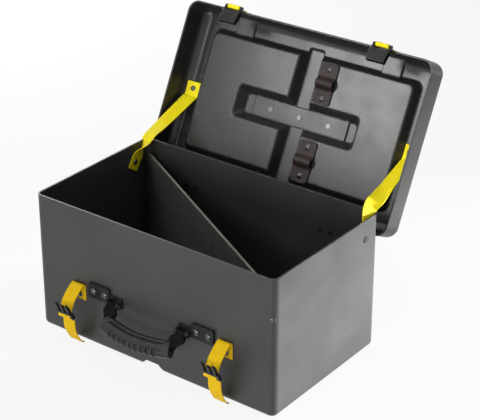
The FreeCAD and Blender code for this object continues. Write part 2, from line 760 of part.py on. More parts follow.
leaf_rivet = rivet(leaf_lid_stack, S.small_head_radius, S.small_head_height, S.tail_radius,
                   S.flat_tail_height)
node(rivets("hinge_lid_rivets", leaf_rivet, leaf_lid_places), "hinge_lid_rivets", OPEN)

# Handle brackets, pins and rivets
for side, sign in SIDES:
    low_x = "plate_in" if sign > 0 else "-plate_out"
    plate = box("handle_plate_block_" + side, low_x, "-case_depth / 2 - plate_thickness", "plate_low",
                "plate_out - plate_in", "plate_thickness", "plate_high - plate_low")
    doc.recompute()
    face_y = front_y - S.plate_thickness

    def along_y(edge):
        return edge.BoundBox.YLength > edge.BoundBox.XLength + edge.BoundBox.ZLength

    plate = fillet("handle_plate_round_" + side, plate, S.plate_round, along_y)
    tongue_x = "tongue_in" if sign > 0 else "-plate_in - plate_round"
    tongue = box("handle_tongue_" + side, tongue_x, "-case_depth / 2 - tongue_thickness", "tongue_low",
                 "plate_in - tongue_in + plate_round", "tongue_thickness", "tongue_high - tongue_low")
    pieces = [plate, tongue]
    for name, start in (("inner", "tongue_in"), ("outer", "plate_in - lug_width")):
        lug_x = start if sign > 0 else "-(%s) - lug_width" % start
        neck = box("lug_neck_%s_%s" % (name, side), lug_x, "-handle_axis_y", "handle_axis_z - lug_radius",
                   "lug_width", "handle_axis_y - case_depth / 2", "2 * lug_radius")
        tip = cylinder("lug_tip_%s_%s" % (name, side), X_AXIS, lug_x, "-handle_axis_y", "handle_axis_z",
                       "lug_radius", "lug_width")
        pieces += [neck, tip]
    bracket = fuse("handle_bracket_full_" + side, pieces)
    bore_x = "tongue_in - lug_width" if sign > 0 else "-plate_in - lug_width"
    bore = cylinder("bracket_bore_" + side, X_AXIS, bore_x, "-handle_axis_y", "handle_axis_z",
                    "handle_pin_radius + pin_clearance", "plate_in - tongue_in + 2 * lug_width")
    node(cut("handle_bracket_" + side, bracket, [bore, handle_holes]), "handle_bracket_" + side)
pin_left = cylinder("pin_left", X_AXIS, "-plate_in", "-handle_axis_y", "handle_axis_z",
                    "handle_pin_radius", "plate_in - tongue_in")
pin_right = cylinder("pin_right", X_AXIS, "tongue_in", "-handle_axis_y", "handle_axis_z",
                     "handle_pin_radius", "plate_in - tongue_in")
pins = doc.addObject("Part::Compound", "handle_pins")
pins.Links = [pin_left, pin_right]
node(pins, "handle_pins")
handle_rivet = rivet(handle_stack, S.head_radius, S.head_height, S.tail_radius, S.tail_height)
node(rivets("handle_bracket_rivets", handle_rivet, handle_places), "handle_bracket_rivets")

# Handle core and grip in their own plane: Z points from the pivot to the grip
DROOP = Placement(Vector(0, -S.handle_axis_y, S.handle_axis_z), Rotation(X_AXIS, 180 - S.handle_droop_angle))
eye_in = S.tongue_in + S.lug_width + S.eye_gap
eye_out = S.plate_in - S.lug_width - S.eye_gap
outline = []
for sign in (1, -1):
    half = [(eye_in, S.core_straight), (eye_in, 0), (eye_out, 0), (eye_out, S.core_straight)]
    half.append((S.core_foot_out, S.core_bar_high))
    if sign > 0:
        outline += [(S.core_foot_in, S.core_bar_low)] + half
    else:
        half = [(-x, z) for x, z in reversed(half)]
        outline += half + [(-S.core_foot_in, S.core_bar_low)]
points = [Vector(x, -S.core_thickness / 2, z) for x, z in outline]
core = Part.Face(Part.makePolygon(points + points[:1])).extrude(Vector(0, S.core_thickness, 0))
eyes = []
for start in (eye_in, -eye_out):
    eyes.append(Part.makeCylinder(S.eye_radius, eye_out - eye_in, Vector(start, 0, 0), X_AXIS))
core = core.multiFuse(eyes).removeSplitter()
for start in (eye_in, -eye_out):
    core = core.cut(Part.makeCylinder(S.handle_pin_radius + S.pin_clearance, eye_out - eye_in,
                                      Vector(start, 0, 0), X_AXIS))
core_node = node(solid("handle_core", core), "handle_core")
core_node.Placement = DROOP

bow_radius = (S.grip_half ** 2 + S.grip_bow ** 2) / (2 * S.grip_bow)
bow_angle = math.degrees(math.asin(S.grip_half / bow_radius))
bow_centre = Vector(0, 0, S.grip_end + S.grip_bow - bow_radius)
start = Vector(-S.grip_half, 0, S.grip_end)
middle = Vector(0, 0, S.grip_end + S.grip_bow)
end = Vector(S.grip_half, 0, S.grip_end)
spine = Part.Wire([Part.Arc(start, middle, end).toShape()])
radial = start - bow_centre
radial.normalize()
ring = Part.Ellipse(start + radial * S.grip_semi_long, start + Y_AXIS * S.grip_semi_short, start)
grip = spine.makePipeShell([Part.Wire([ring.toShape()])], True, False)
ridges = []
for step in range(-4, 5):
    turn_by = math.degrees(step * S.ridge_pitch / bow_radius)
    groove = Part.makeBox(S.ridge_length, 4 * S.grip_semi_short, 2 * S.ridge_depth,
                          Vector(-S.ridge_length / 2, -2 * S.grip_semi_short,
                                 bow_radius + S.grip_semi_long - S.ridge_depth))
    groove.Placement = Placement(bow_centre, Rotation(Y_AXIS, turn_by))
    ridges.append(groove)
grip = grip.cut(Part.makeCompound(ridges)).cut(core)
grip_node = node(solid("handle_grip", grip), "handle_grip")
grip_node.Placement = DROOP


# A webbing strip through three points in the YZ plane, with an even thickness
def arc_strip(x, width, start, through, end, thickness):
    arc = Part.Arc(start, through, end)
    middle = arc.toShape().Curve.Center
    reach = arc.toShape().Curve.Radius

    def shifted(point, amount):
        direction = point - middle
        direction.normalize()
        return middle + direction * (reach + amount)

    half = thickness / 2
    outside = [shifted(p, half) for p in (start, through, end)]
    inside = [shifted(p, -half) for p in (end, through, start)]
    edges = [Part.Arc(*outside).toShape(), Part.makeLine(outside[2], inside[0])]
    edges += [Part.Arc(*inside).toShape(), Part.makeLine(inside[2], outside[0])]
    strip = Part.Face(Part.Wire(edges)).extrude(Vector(width, 0, 0))
    strip.translate(Vector(x - width / 2, 0, 0))
    return strip


# Latch straps, male buckles and tails
for side, sign in SIDES:
    x = sign * S.latch_x
    x_text = "%d * latch_x" % sign
    anchor = box("anchor_block_" + side, x_text + " - web_width / 2", "-case_depth / 2 - web_thickness",
                 "anchor_low", "web_width", "web_thickness", "latch_axis_z + fold_radius - anchor_low")
    node(cut("latch_anchor_" + side, anchor, [anchor_holes]), "latch_anchor_" + side)

    fold_point = Vector(0, -S.latch_axis_y, S.latch_axis_z)
    bar_point = Vector(0, -S.bar_y, S.bar_z)
    chord = bar_point - fold_point
    bulge = Vector(0, chord.z, -chord.y)
    bulge.normalize()
    through = (fold_point + bar_point) * 0.5 + bulge * S.drop_sag
    drop = arc_strip(x, S.web_width, fold_point, through, bar_point, S.web_thickness)
    barrel = Part.makeCylinder(S.fold_radius, S.web_width, fold_point + X_AXIS * (x - S.web_width / 2), X_AXIS)
    wrap_radius = S.bar_radius + S.pin_clearance + S.web_thickness
    bar_space = Part.makeCylinder(wrap_radius + S.web_gap, 2 * S.web_width,
                                  bar_point + X_AXIS * (x - S.web_width), X_AXIS)
    node(solid("latch_strap_" + side, drop.fuse(barrel).cut(bar_space).removeSplitter()),
         "latch_strap_" + side)

    wrap_start = bar_point + X_AXIS * (x - S.web_width / 2)
    wrap = Part.makeCylinder(wrap_radius, S.web_width, wrap_start, X_AXIS)
    lead = Vector(0, -S.bar_y - wrap_radius + S.web_thickness / 2, S.bar_z)
    tail = arc_strip(x, S.web_width, lead, Vector(0, -S.tail_mid_y, S.tail_mid_z),
                     Vector(0, -S.tail_end_y, S.tail_end_z), S.web_thickness)
    tail = wrap.fuse(tail).removeSplitter()
    tail = tail.cut(Part.makeCylinder(S.bar_radius + S.pin_clearance, S.web_width, wrap_start, X_AXIS))
    node(solid("latch_tail_" + side, tail), "latch_tail_" + side)

    # Male buckle with its bar at the origin and its prongs along Z
    def slab(x0, x1, z0, z1, thickness):
        return Part.makeBox(x1 - x0, thickness, z1 - z0, Vector(x0, -thickness / 2, z0))

    arm_in = S.buckle_half - S.arm_width
    pieces = [slab(-S.buckle_half, S.buckle_half, S.cross_low, S.shoulder, S.buckle_thickness)]
    pieces.append(slab(-S.guide_half, S.guide_half, S.cross_low, S.guide_tip, S.prong_thickness))
    for way in (-1, 1):
        near, far = sorted((way * arm_in, way * S.buckle_half))
        pieces.append(slab(near, far, -S.arm_foot, S.shoulder, S.buckle_thickness))
        near, far = sorted((way * S.prong_in, way * S.prong_out))
        pieces.append(slab(near, far, S.cross_low, S.prong_tip, S.prong_thickness))
        near, far = sorted((way * S.prong_in, way * S.barb_out))
        pieces.append(slab(near, far, S.barb_low, S.barb_high, S.prong_thickness))
    bar = Part.makeCylinder(S.bar_radius, 2 * S.buckle_half, Vector(-S.buckle_half, 0, 0), X_AXIS)
    male = bar.multiFuse(pieces).removeSplitter()
    male_node = node(solid("male_buckle_" + side, male), "male_buckle_" + side)
    male_node.Placement = Placement(Vector(x, -S.bar_y, S.bar_z), Rotation(X_AXIS, S.prong_tilt_angle))
anchor_rivet = rivet(anchor_stack, S.head_radius, S.head_height, S.tail_radius, S.tail_height)
node(rivets("latch_rivets", anchor_rivet, anchor_places), "latch_rivets")

# Lid webbing: from the strap recess over the front edge to a loop round the female buckle's bar
for side, sign in SIDES:
    x = sign * S.latch_x
    seat_z = S.lid_top - S.recess_depth
    bend = Vector(0, S.lid_top_radius - S.lid_front, S.lid_top - S.lid_top_radius)

    def bend_arc(radius, top_z):
        rise_by = top_z - bend.z
        top = Vector(0, bend.y - math.sqrt(radius ** 2 - rise_by ** 2), top_z)
        side_point = Vector(0, bend.y - radius, bend.z)
        middle = (top + side_point) * 0.5 - bend
        middle.normalize()
        return top, bend + middle * radius, side_point

    low_top, low_mid, low_side = bend_arc(S.lid_top_radius, seat_z)
    high_top, high_mid, high_side = bend_arc(S.lid_top_radius + S.web_thickness, seat_z + S.web_thickness)
    first = -(S.recess_start + S.recess_depth / 2)
    edges = [Part.makeLine(Vector(0, first, seat_z), low_top)]
    edges.append(Part.Arc(low_top, low_mid, low_side).toShape())
    low_end = Vector(0, low_side.y, S.loop_z)
    high_end = Vector(0, high_side.y, S.loop_z)
    edges.append(Part.makeLine(low_side, low_end))
    edges.append(Part.makeLine(low_end, high_end))
    edges.append(Part.makeLine(high_end, high_side))
    edges.append(Part.Arc(high_side, high_mid, high_top).toShape())
    high_first = Vector(0, first, seat_z + S.web_thickness)
    edges.append(Part.makeLine(high_top, high_first))
    edges.append(Part.makeLine(high_first, Vector(0, first, seat_z)))
    strip = Part.Face(Part.Wire(edges)).extrude(Vector(S.web_width, 0, 0))
    strip.translate(Vector(x - S.web_width / 2, 0, 0))
    loop_start = LOOP + X_AXIS * (x - S.web_width / 2)
    tube = Part.makeCylinder(S.loop_radius + S.web_thickness, S.web_width, loop_start, X_AXIS)
    webbing = strip.fuse(tube).removeSplitter()
    webbing = webbing.cut(Part.makeCylinder(S.loop_radius, S.web_width, loop_start, X_AXIS))
    web_node = solid("lid_webbing_block_" + side, webbing)
    node(cut("lid_webbing_" + side, web_node, [lid_web_holes]), "lid_webbing_" + side, OPEN)

    # Female buckle hanging straight down from its bar
    top = S.loop_z - S.female_top
    end = S.loop_z - S.female_length
    front = -S.loop_y - S.female_thickness / 2
    body = Part.makeBox(2 * S.female_half, S.female_thickness, top - end, Vector(x - S.female_half, front, end))
    body = body.makeFillet(S.female_round, body.Edges)
    pieces = []
    for way in (-1, 1):
        near, far = sorted((x + way * S.female_arm_in, x + way * S.female_half))
        arm_start = Vector(near, -S.loop_y - S.female_arm_thickness / 2, top - S.female_round)
        pieces.append(Part.makeBox(far - near, S.female_arm_thickness, S.female_top + S.female_round, arm_start))
        pieces.append(Part.makeCylinder(S.female_arm_thickness / 2, far - near,
                                        LOOP + X_AXIS * near, X_AXIS))
    pieces.append(Part.makeCylinder(S.bar_radius, 2 * S.female_half, LOOP + X_AXIS * (x - S.female_half), X_AXIS))
    body = body.multiFuse(pieces).removeSplitter()
    socket = Part.makeBox(2 * S.socket_half, S.socket_height, S.female_length - S.socket_end,
                          Vector(x - S.socket_half, -S.loop_y - S.socket_height / 2, end))
    window = Part.makeBox(3 * S.female_half, S.window_height, S.window_high - S.window_low,
                          Vector(x - 1.5 * S.female_half, -S.loop_y - S.window_height / 2,
                                 S.loop_z - S.window_high))
    body = body.cut(socket).cut(window)
    node(solid("female_buckle_" + side, body), "female_buckle_" + side).Placement = FOLDED
web_rivet = rivet(lid_web_stack, S.head_radius, S.head_height, S.tail_radius, S.tail_height)
node(rivets("lid_webbing_rivets", web_rivet, lid_web_places), "lid_webbing_rivets", OPEN)

# Leather holders: flat ends and a tunnel in the middle
for label, middle in (("upper", "-holder_upper_y"), ("lower", "holder_lower_y")):
    x0 = "holder_x - holder_width / 2"
    flat = box("holder_flat_" + label, x0, middle + " - holder_length / 2", "crest_z - holder_thickness",
               "holder_width", "holder_length", "holder_thickness")
    arch = cylinder("holder_arch_" + label, X_AXIS, x0, middle, "crest_z - tunnel_leg",
                    "tunnel_radius + holder_thickness", "holder_width")
    legs = box("holder_legs_" + label, x0, middle + " - tunnel_radius - holder_thickness",
               "crest_z - tunnel_leg", "holder_width", "2 * tunnel_radius + 2 * holder_thickness", "tunnel_leg")
    over = box("holder_over_" + label, x0 + " - holder_thickness", middle + " - holder_length", "crest_z",
               "holder_width + 2 * holder_thickness", "2 * holder_length", "holder_length")
    full = fuse("holder_full_" + label, [flat, arch, legs])
    tunnel = cylinder("holder_tunnel_" + label, X_AXIS, x0 + " - holder_thickness", middle,
                      "crest_z - tunnel_leg", "tunnel_radius", "holder_width + 2 * holder_thickness")
    throat = box("holder_throat_" + label, x0 + " - holder_thickness", middle + " - tunnel_radius",
                 "crest_z - tunnel_leg", "holder_width + 2 * holder_thickness", "2 * tunnel_radius",
                 "2 * tunnel_leg")
    opened = cut("holder_open_" + label, full, [fuse("holder_space_" + label, [tunnel, throat, over])])
    node(cut("holder_loop_" + label, opened, [holder_holes]), "holder_loop_" + label, OPEN)
holder_rivet = rivet(holder_stack, S.head_radius, S.head_height, S.tail_radius, S.tail_height)
node(rivets("holder_rivets", holder_rivet, holder_places), "holder_rivets", OPEN)


# Stays: flat on the tub's side wall, turned to lie over the back rim, then straight to the lid
def section(centre_point, wide, thick):
    wide = wide * (S.web_width / 2)
    thick = thick * (S.web_thickness / 2)
    corners = [centre_point - wide - thick, centre_point + wide - thick]
    corners += [centre_point + wide + thick, centre_point - wide + thick]
    return Part.makePolygon(corners + corners[:1])


for side, sign in SIDES:
    wall_x = sign * (S.stay_reach - S.web_thickness / 2)
    rivet_point = Vector(wall_x, S.stay_rivet_y, S.stay_rivet_z)
    rim_point = Vector(sign * S.stay_rim_x, S.stay_rim_y, S.base_height + S.stay_rim_lift)
    run = Vector(0, rim_point.y - rivet_point.y, rim_point.z - rivet_point.z)
    run.normalize()
    beside = Vector(0, -run.z, run.y)
    lean = math.radians(S.stay_lid_tilt_angle)
    lid_wide = OPEN.Rotation.multVec(Vector(math.cos(lean), 0, -sign * math.sin(lean)))
    lid_thick = OPEN.Rotation.multVec(Vector(sign * math.sin(lean), 0, math.cos(lean)))
    end_z = stay_z + S.web_thickness / 2
    lid_near = OPEN.multVec(Vector(sign * S.stay_lid_x, S.stay_lid_y + S.stay_lid_run, end_z))
    lid_far = OPEN.multVec(Vector(sign * S.stay_lid_x, S.stay_lid_y - S.stay_lid_run, end_z))
    reach = lid_near - rim_point
    reach.normalize()
    rim_thick = Vector(0, -reach.z, reach.y) + Vector(0, -run.z, run.y)
    rim_thick.normalize()
    tab_low = rivet_point - run * S.stay_end_run
    tab_high = rivet_point + run * S.stay_top_run
    first = section(tab_low, beside, X_AXIS)
    second = section(tab_high, beside, X_AXIS)
    third_wide = Vector(1, 0, 0)
    third = section(rim_point, third_wide, rim_thick * -1)
    fourth = section(lid_near, lid_wide, lid_thick)
    fifth = section(lid_far, lid_wide, lid_thick)
    if sign < 0:
        first = section(tab_low, beside * -1, X_AXIS)
        second = section(tab_high, beside * -1, X_AXIS)
    parts = [Part.makeLoft([first, second], True, True)]
    parts.append(Part.makeLoft([second, third], True, True))
    parts.append(Part.makeLoft([third, fourth], True, True))
    parts.append(Part.makeLoft([fourth, fifth], True, True))
    strap = parts[0].multiFuse(parts[1:])
    strap_node = solid("stay_block_" + side, strap)
    lid_side_holes = stay_lid_holes.Shape.copy()
    lid_side_holes.Placement = OPEN
    drill = solid("stay_drill_" + side, lid_side_holes)
    node(cut("stay_strap_" + side, strap_node, [stay_base_holes, drill]), "stay_strap_" + side)
stay_rivet = rivet(stay_base_stack, S.head_radius, S.head_height, S.head_radius, S.tail_height)
node(rivets("stay_base_rivets", stay_rivet, stay_base_places), "stay_base_rivets")
stay_rivet = rivet(stay_lid_stack, S.head_radius, S.head_height, S.tail_radius, S.tail_height)
node(rivets("stay_lid_rivets", stay_rivet, stay_lid_places), "stay_lid_rivets", OPEN)

doc.recompute()
for obj in doc.Objects:
    if "Invalid" in obj.State or "Error" in obj.State:
        raise RuntimeError("%s is %s" % (obj.Name, obj.State))
for obj in nodes:
    if obj.Shape.isNull() or not obj.Shape.isValid() or not obj.Shape.Solids:
        raise RuntimeError("%s has no valid shape" % obj.Label)
for obj in nodes:
    obj.Shape.exportStep("parts/%s.step" % obj.Label)
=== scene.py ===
import json
import math

import bmesh
import bpy
from mathutils import Matrix, Vector


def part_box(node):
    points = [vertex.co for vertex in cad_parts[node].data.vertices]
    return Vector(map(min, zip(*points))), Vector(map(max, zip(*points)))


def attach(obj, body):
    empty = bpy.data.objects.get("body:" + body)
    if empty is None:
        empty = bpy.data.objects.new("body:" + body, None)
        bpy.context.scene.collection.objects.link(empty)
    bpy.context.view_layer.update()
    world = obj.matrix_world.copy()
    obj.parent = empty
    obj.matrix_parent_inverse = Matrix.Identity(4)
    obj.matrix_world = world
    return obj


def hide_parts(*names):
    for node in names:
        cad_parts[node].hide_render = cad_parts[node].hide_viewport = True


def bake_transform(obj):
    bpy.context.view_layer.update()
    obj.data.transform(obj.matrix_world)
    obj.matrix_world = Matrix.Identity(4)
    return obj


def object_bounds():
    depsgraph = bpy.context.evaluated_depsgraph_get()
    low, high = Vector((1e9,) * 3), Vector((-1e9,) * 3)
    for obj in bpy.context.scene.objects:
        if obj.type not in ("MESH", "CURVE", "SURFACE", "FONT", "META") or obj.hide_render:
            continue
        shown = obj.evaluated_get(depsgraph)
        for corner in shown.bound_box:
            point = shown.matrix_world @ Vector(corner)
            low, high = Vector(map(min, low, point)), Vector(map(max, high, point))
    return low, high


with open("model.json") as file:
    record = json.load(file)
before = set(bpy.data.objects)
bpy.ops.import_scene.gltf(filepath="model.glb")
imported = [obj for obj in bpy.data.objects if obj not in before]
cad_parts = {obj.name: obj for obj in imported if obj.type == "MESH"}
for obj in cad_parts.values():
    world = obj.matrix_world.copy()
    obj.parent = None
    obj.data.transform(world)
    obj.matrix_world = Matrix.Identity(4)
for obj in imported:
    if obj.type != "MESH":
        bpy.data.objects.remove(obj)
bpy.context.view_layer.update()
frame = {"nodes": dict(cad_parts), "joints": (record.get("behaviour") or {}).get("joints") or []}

MM = 0.001
X_AXIS = Vector((1, 0, 0))
SIDES = (("left", -1), ("right", 1))
scene = bpy.context.scene
nodes = frame["nodes"]
joints = {joint["name"]: joint for joint in frame["joints"]}


def pivot(name):
    return Vector(joints[name]["pos_m"])


def turn(angle, centre):
    # A turn about the X direction, round the centre
    return Matrix.Translation(centre) @ Matrix.Rotation(angle, 4, "X") @ Matrix.Translation(-centre)


def boxed(name, matrix):
    # The lowest and highest corner of a node once the matrix has moved it
    points = [matrix @ vertex.co for vertex in nodes[name].data.vertices]
    low = Vector([min(p[i] for p in points) for i in range(3)])
    high = Vector([max(p[i] for p in points) for i in range(3)])
    return low, high


# Places read from the frame; OPEN takes the closed lid to where it is at rest
base_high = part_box("base_shell")[1]
anchor_low, anchor_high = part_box("latch_anchor_right")
open_angle = math.radians(joints["lid_hinge"]["range_deg"][1])
OPEN = turn(-open_angle, pivot("lid_hinge"))
CLOSE = OPEN.inverted()
web_width = anchor_high.x - anchor_low.x
web_thick = anchor_high.y - anchor_low.y
latch_x = (anchor_high.x + anchor_low.x) / 2
wall_y = anchor_high.y


# Materials
FULL = (0.0, 1.0)
BROAD = (0.3, 0.7)
MIDDLE = (0.35, 0.65)
EDGE_COSINE = (0.995, 0.8)
BEVEL_SAMPLES = 4
WHITE = (1.0, 1.0, 1.0, 1.0)


class Tree:
    # Adds and links the nodes of one node tree
    def __init__(self, tree):
        self.tree = tree

    def add(self, kind, **settings):
        made = self.tree.nodes.new(kind)
        for key, value in settings.items():
            setattr(made, key, value)
        return made

    def link(self, source, target):
        self.tree.links.new(source, target)

    def math(self, operation, first, second=0.0):
        made = self.add("ShaderNodeMath", operation=operation)
        for socket, value in zip(made.inputs, (first, second)):
            if isinstance(value, (int, float)):
                socket.default_value = value
            else:
                self.link(value, socket)
        return made.outputs[0]

    def seen(self):
        # 1 for the rays that show the surroundings: camera, transmission and glossy rays
        ray = self.add("ShaderNodeLightPath")
        through = self.math("MAXIMUM", ray.outputs["Is Camera Ray"], ray.outputs["Is Transmission Ray"])
        return self.math("MAXIMUM", through, ray.outputs["Is Glossy Ray"])

    def surface(self, output, factor, first, second):
        # Mixes two shaders by the factor and sends them to the output
        made = self.add("ShaderNodeMixShader")
        for socket, source in zip(made.inputs, (factor, first, second)):
            self.link(source, socket)
        self.link(made.outputs[0], self.tree.nodes[output].inputs["Surface"])


class Material(Tree):
    def __init__(self, name):
        self.material = bpy.data.materials.new(name)
        self.material.use_nodes = True
        super().__init__(self.material.node_tree)
        self.shader = self.tree.nodes["Principled BSDF"]

    def set(self, **values):
        for key, value in values.items():
            self.shader.inputs[key.replace("_", " ")].default_value = value

    def place(self):
        return self.add("ShaderNodeTexCoord").outputs["Object"]

    def noise(self, scale, detail=3.0, rough=0.55, stretch=None):
        made = self.add("ShaderNodeTexNoise")
        made.inputs["Scale"].default_value = scale
        made.inputs["Detail"].default_value = detail
        made.inputs["Roughness"].default_value = rough
        where = self.place()
        if stretch:
            mapping = self.add("ShaderNodeMapping")
            mapping.inputs["Scale"].default_value = stretch
            self.link(where, mapping.inputs["Vector"])
            where = mapping.outputs["Vector"]
        self.link(where, made.inputs["Vector"])
        return made.outputs["Fac"]

    def ramp(self, value, span, out=FULL):
        made = self.add("ShaderNodeMapRange")
        self.link(value, made.inputs["Value"])
        for key, number in zip(("From Min", "From Max", "To Min", "To Max"), span + out):
            made.inputs[key].default_value = number
        return made.outputs["Result"]

    def patches(self, scale, span, out=FULL, detail=3.0):
        return self.ramp(self.noise(scale, detail), span, out)

    def mix(self, factor, first, second):
        made = self.add("ShaderNodeMix", data_type="RGBA")
        self.link(factor, made.inputs["Factor"])
        for socket, value in ((made.inputs[6], first), (made.inputs[7], second)):
            if isinstance(value, tuple):
                socket.default_value = value + (1.0,)
            else:
                self.link(value, socket)
        return made.outputs[2]

    def bump(self, height, strength, distance, normal=None):
        made = self.add("ShaderNodeBump")
        made.inputs["Strength"].default_value = strength
        made.inputs["Distance"].default_value = distance
        self.link(height, made.inputs["Height"])
        if normal:
            self.link(normal, made.inputs["Normal"])
        return made.outputs["Normal"]

    def dot(self, first, second):
        made = self.add("ShaderNodeVectorMath", operation="DOT_PRODUCT")
        self.link(first, made.inputs[0])
        if isinstance(second, Vector):
            made.inputs[1].default_value = second
        else:
            self.link(second, made.inputs[1])
        return made.outputs["Value"]

    def rounded(self, radius):
        made = self.add("ShaderNodeBevel", samples=BEVEL_SAMPLES)
        made.inputs["Radius"].default_value = radius
        return made.outputs["Normal"]

    def face(self):
        return self.add("ShaderNodeNewGeometry").outputs["Normal"]

    def wear(self, radius, scale, span, out):
        # Patchy rubbing within the radius of a sharp edge
        edge = self.ramp(self.dot(self.rounded(radius), self.face()), EDGE_COSINE)
        return self.math("MULTIPLY", edge, self.patches(scale, span, out))

    def ring(self, centre, radius, width):
        # 1 on a soft circle round the centre, 0 away from it
        made = self.add("ShaderNodeVectorMath", operation="DISTANCE")
        self.link(self.place(), made.inputs[0])
        made.inputs[1].default_value = centre
        off = self.math("ABSOLUTE", self.math("SUBTRACT", made.outputs["Value"], radius))
        return self.ramp(off, (width / 2, 0.0))

    def split(self, vector):
        made = self.add("ShaderNodeSeparateXYZ")
        self.link(vector, made.inputs["Vector"])
        return made.outputs

    def finish(self, tone, rough, normal):
        for key, socket in (("Base Color", tone), ("Roughness", rough), ("Normal", normal)):
            self.link(socket, self.shader.inputs[key])
        return self.material


# The lid is glossier inside, its tone is painted darker than the tub's as painted shade, and its right
# panel has a faint round mark from moulding
LID_PAINTED_SHADE = 0.77
LID_SHINE = 0.36
LID_FILLET = 3.0 * MM
LID_GLOSS = 0.16
GLOSS_COSINE = (-0.1, 0.3)
MARK_PLACE = (106.0 * MM, -63.7 * MM)
MARK_RADIUS = 30.0 * MM
MARK_WIDTH = 10.0 * MM
MARK_SHADE = 0.8
MARK_BUMP = 0.10


def shell_material(name="shell_plastic", painted_shade_scale=1.0, shine=0.5, fillet=0.9 * MM, gloss_way=None, mark=None):
    # Moulded plastic; the faces that look along gloss_way are glossier, and a tone scale below 1 darkens
    # the tone as painted shade
    n = Material(name)
    # Both tones are scaled by the same factor; below 1 this is painted shade
    dark = tuple(value * painted_shade_scale for value in (0.028, 0.028, 0.0265))
    pale = tuple(value * painted_shade_scale for value in (0.0355, 0.0355, 0.034))
    scuffed = (0.12, 0.12, 0.115)
    rubbed = (0.15, 0.148, 0.14)
    tone = n.mix(n.patches(9.0, MIDDLE, detail=4.0), dark, pale)
    scratch = n.ramp(n.noise(260.0, 2.0, 0.5, (1.0, 0.05, 0.3)), (0.66, 0.74), (0.0, 0.35))
    tone = n.mix(n.math("MULTIPLY", scratch, n.patches(14.0, (0.52, 0.7))), tone, scuffed)
    tone = n.mix(n.wear(1.2 * MM, 55.0, (0.35, 0.7), (0.15, 0.8)), tone, rubbed)
    rough = n.patches(22.0, BROAD, (0.38, 0.47), 5.0)
    if gloss_way:
        facing = n.dot(n.add("ShaderNodeTexCoord").outputs["Normal"], gloss_way)
        rough = n.math("SUBTRACT", rough, n.ramp(facing, GLOSS_COSINE, (0.0, LID_GLOSS)))
    normal = n.bump(n.noise(180.0, 2.0), 0.06, 1.0 * MM, n.rounded(fillet))
    if mark:
        ring = n.ring(mark, MARK_RADIUS, MARK_WIDTH)
        tone = n.mix(ring, tone, tuple(value * MARK_SHADE for value in dark))
        normal = n.bump(ring, MARK_BUMP, 0.6 * MM, normal)
    n.set(Specular_IOR_Level=shine)
    return n.finish(tone, rough, n.bump(n.noise(1500.0, 2.0), 0.10, 0.2 * MM, normal))


def lid_material():
    inward = OPEN.to_3x3() @ Vector((0, 0, -1))
    panel_z = boxed("holder_loop_upper", CLOSE)[1].z
    mark = OPEN @ Vector((MARK_PLACE[0], MARK_PLACE[1], panel_z))
    return shell_material("lid_plastic", LID_PAINTED_SHADE, LID_SHINE, LID_FILLET, inward, mark)


WEAVE_RIB = 1.25 * MM
WEAVE_RUN = 2.2 * MM
THREAD_RISE = 0.35
# Strength of the weave's painted shade and highlight, then of its random fuzz tone
WEAVE_PAINTED_SHADE, FUZZ_SHADE = 0.6, 0.5


def webbing_material(name="webbing", dark=(0.90, 0.68, 0.002), bright=(1.0, 0.90, 0.010)):
    # Woven band: u runs across and v along, both in metres
    n = Material(name)
    uv = n.split(n.add("ShaderNodeTexCoord").outputs["UV"])
    rib = n.math("MULTIPLY", uv["X"], 1 / WEAVE_RIB)
    every_other = n.math("MULTIPLY", n.math("MODULO", n.math("FLOOR", rib), 2.0), 0.5)
    run = n.math("ADD", n.math("MULTIPLY", uv["Y"], 1 / WEAVE_RUN), every_other)
    over = n.math("SINE", n.math("MULTIPLY", run, 2 * math.pi))
    round_rib = n.math("SINE", n.math("MULTIPLY", n.math("FRACT", rib), math.pi))
    rise = n.math("ADD", n.math("MULTIPLY", over, THREAD_RISE), 1 - THREAD_RISE)
    height = n.math("MULTIPLY", round_rib, rise)
    fuzz = n.noise(900.0)
    # Thread crowns painted paler and valleys darker, as painted highlight and shade, mixed with a random
    # fuzz tone
    weave_shade_and_fuzz = n.math("ADD", n.math("MULTIPLY", height, WEAVE_PAINTED_SHADE), n.math("MULTIPLY", fuzz, FUZZ_SHADE))
    tone = n.mix(n.ramp(weave_shade_and_fuzz, (0.1, 0.9)), dark, bright)
    tone = n.mix(n.patches(30.0, (0.55, 0.8), (0.0, 0.25), 4.0), tone, dark)
    n.set(Specular_IOR_Level=0.25)
    return n.finish(tone, n.ramp(fuzz, BROAD, (0.5, 0.68)), n.bump(height, 0.55, 0.3 * MM))


# The latch straps' webbing: the same webbing painted darker and more orange, as painted shade on the tub's
# front
def shaded_front_webbing_material():
    return webbing_material("webbing_front_shaded", (0.76, 0.42, 0.0), (0.95, 0.66, 0.002))


def rivet_material():
    n = Material("rivet_black")
    dark, pale, bare = (0.012, 0.012, 0.012), (0.028, 0.028, 0.027), (0.25, 0.24, 0.22)
    tone = n.mix(n.patches(300.0, (0.4, 0.7)), dark, pale)
    tone = n.mix(n.wear(0.6 * MM, 420.0, (0.5, 0.62), (0.0, 0.7)), tone, bare)
    normal = n.bump(n.noise(900.0), 0.05, 0.2 * MM, n.rounded(0.3 * MM))
    n.set(Specular_IOR_Level=0.6, Coat_Weight=0.4, Coat_Roughness=0.12)
    return n.finish(tone, n.patches(500.0, BROAD, (0.16, 0.3), 4.0), normal)


def buckle_material(name="buckle_plastic", dark=0.009, pale=0.016, shine=0.22):
    n = Material(name)
    rubbed = (0.07, 0.07, 0.07)
    tone = n.mix(n.patches(120.0, MIDDLE), (dark, dark, dark * 1.05), (pale, pale, pale * 1.03))
    tone = n.mix(n.wear(0.6 * MM, 240.0, (0.4, 0.65), (0.1, 0.6)), tone, rubbed)
    normal = n.bump(n.noise(2200.0), 0.12, 0.1 * MM, n.rounded(0.5 * MM))
    n.set(Specular_IOR_Level=shine)
    return n.finish(tone, n.patches(160.0, BROAD, (0.28, 0.42), 4.0), normal)


def link_material():
    return buckle_material("link_plastic", 0.006, 0.011, 0.03)


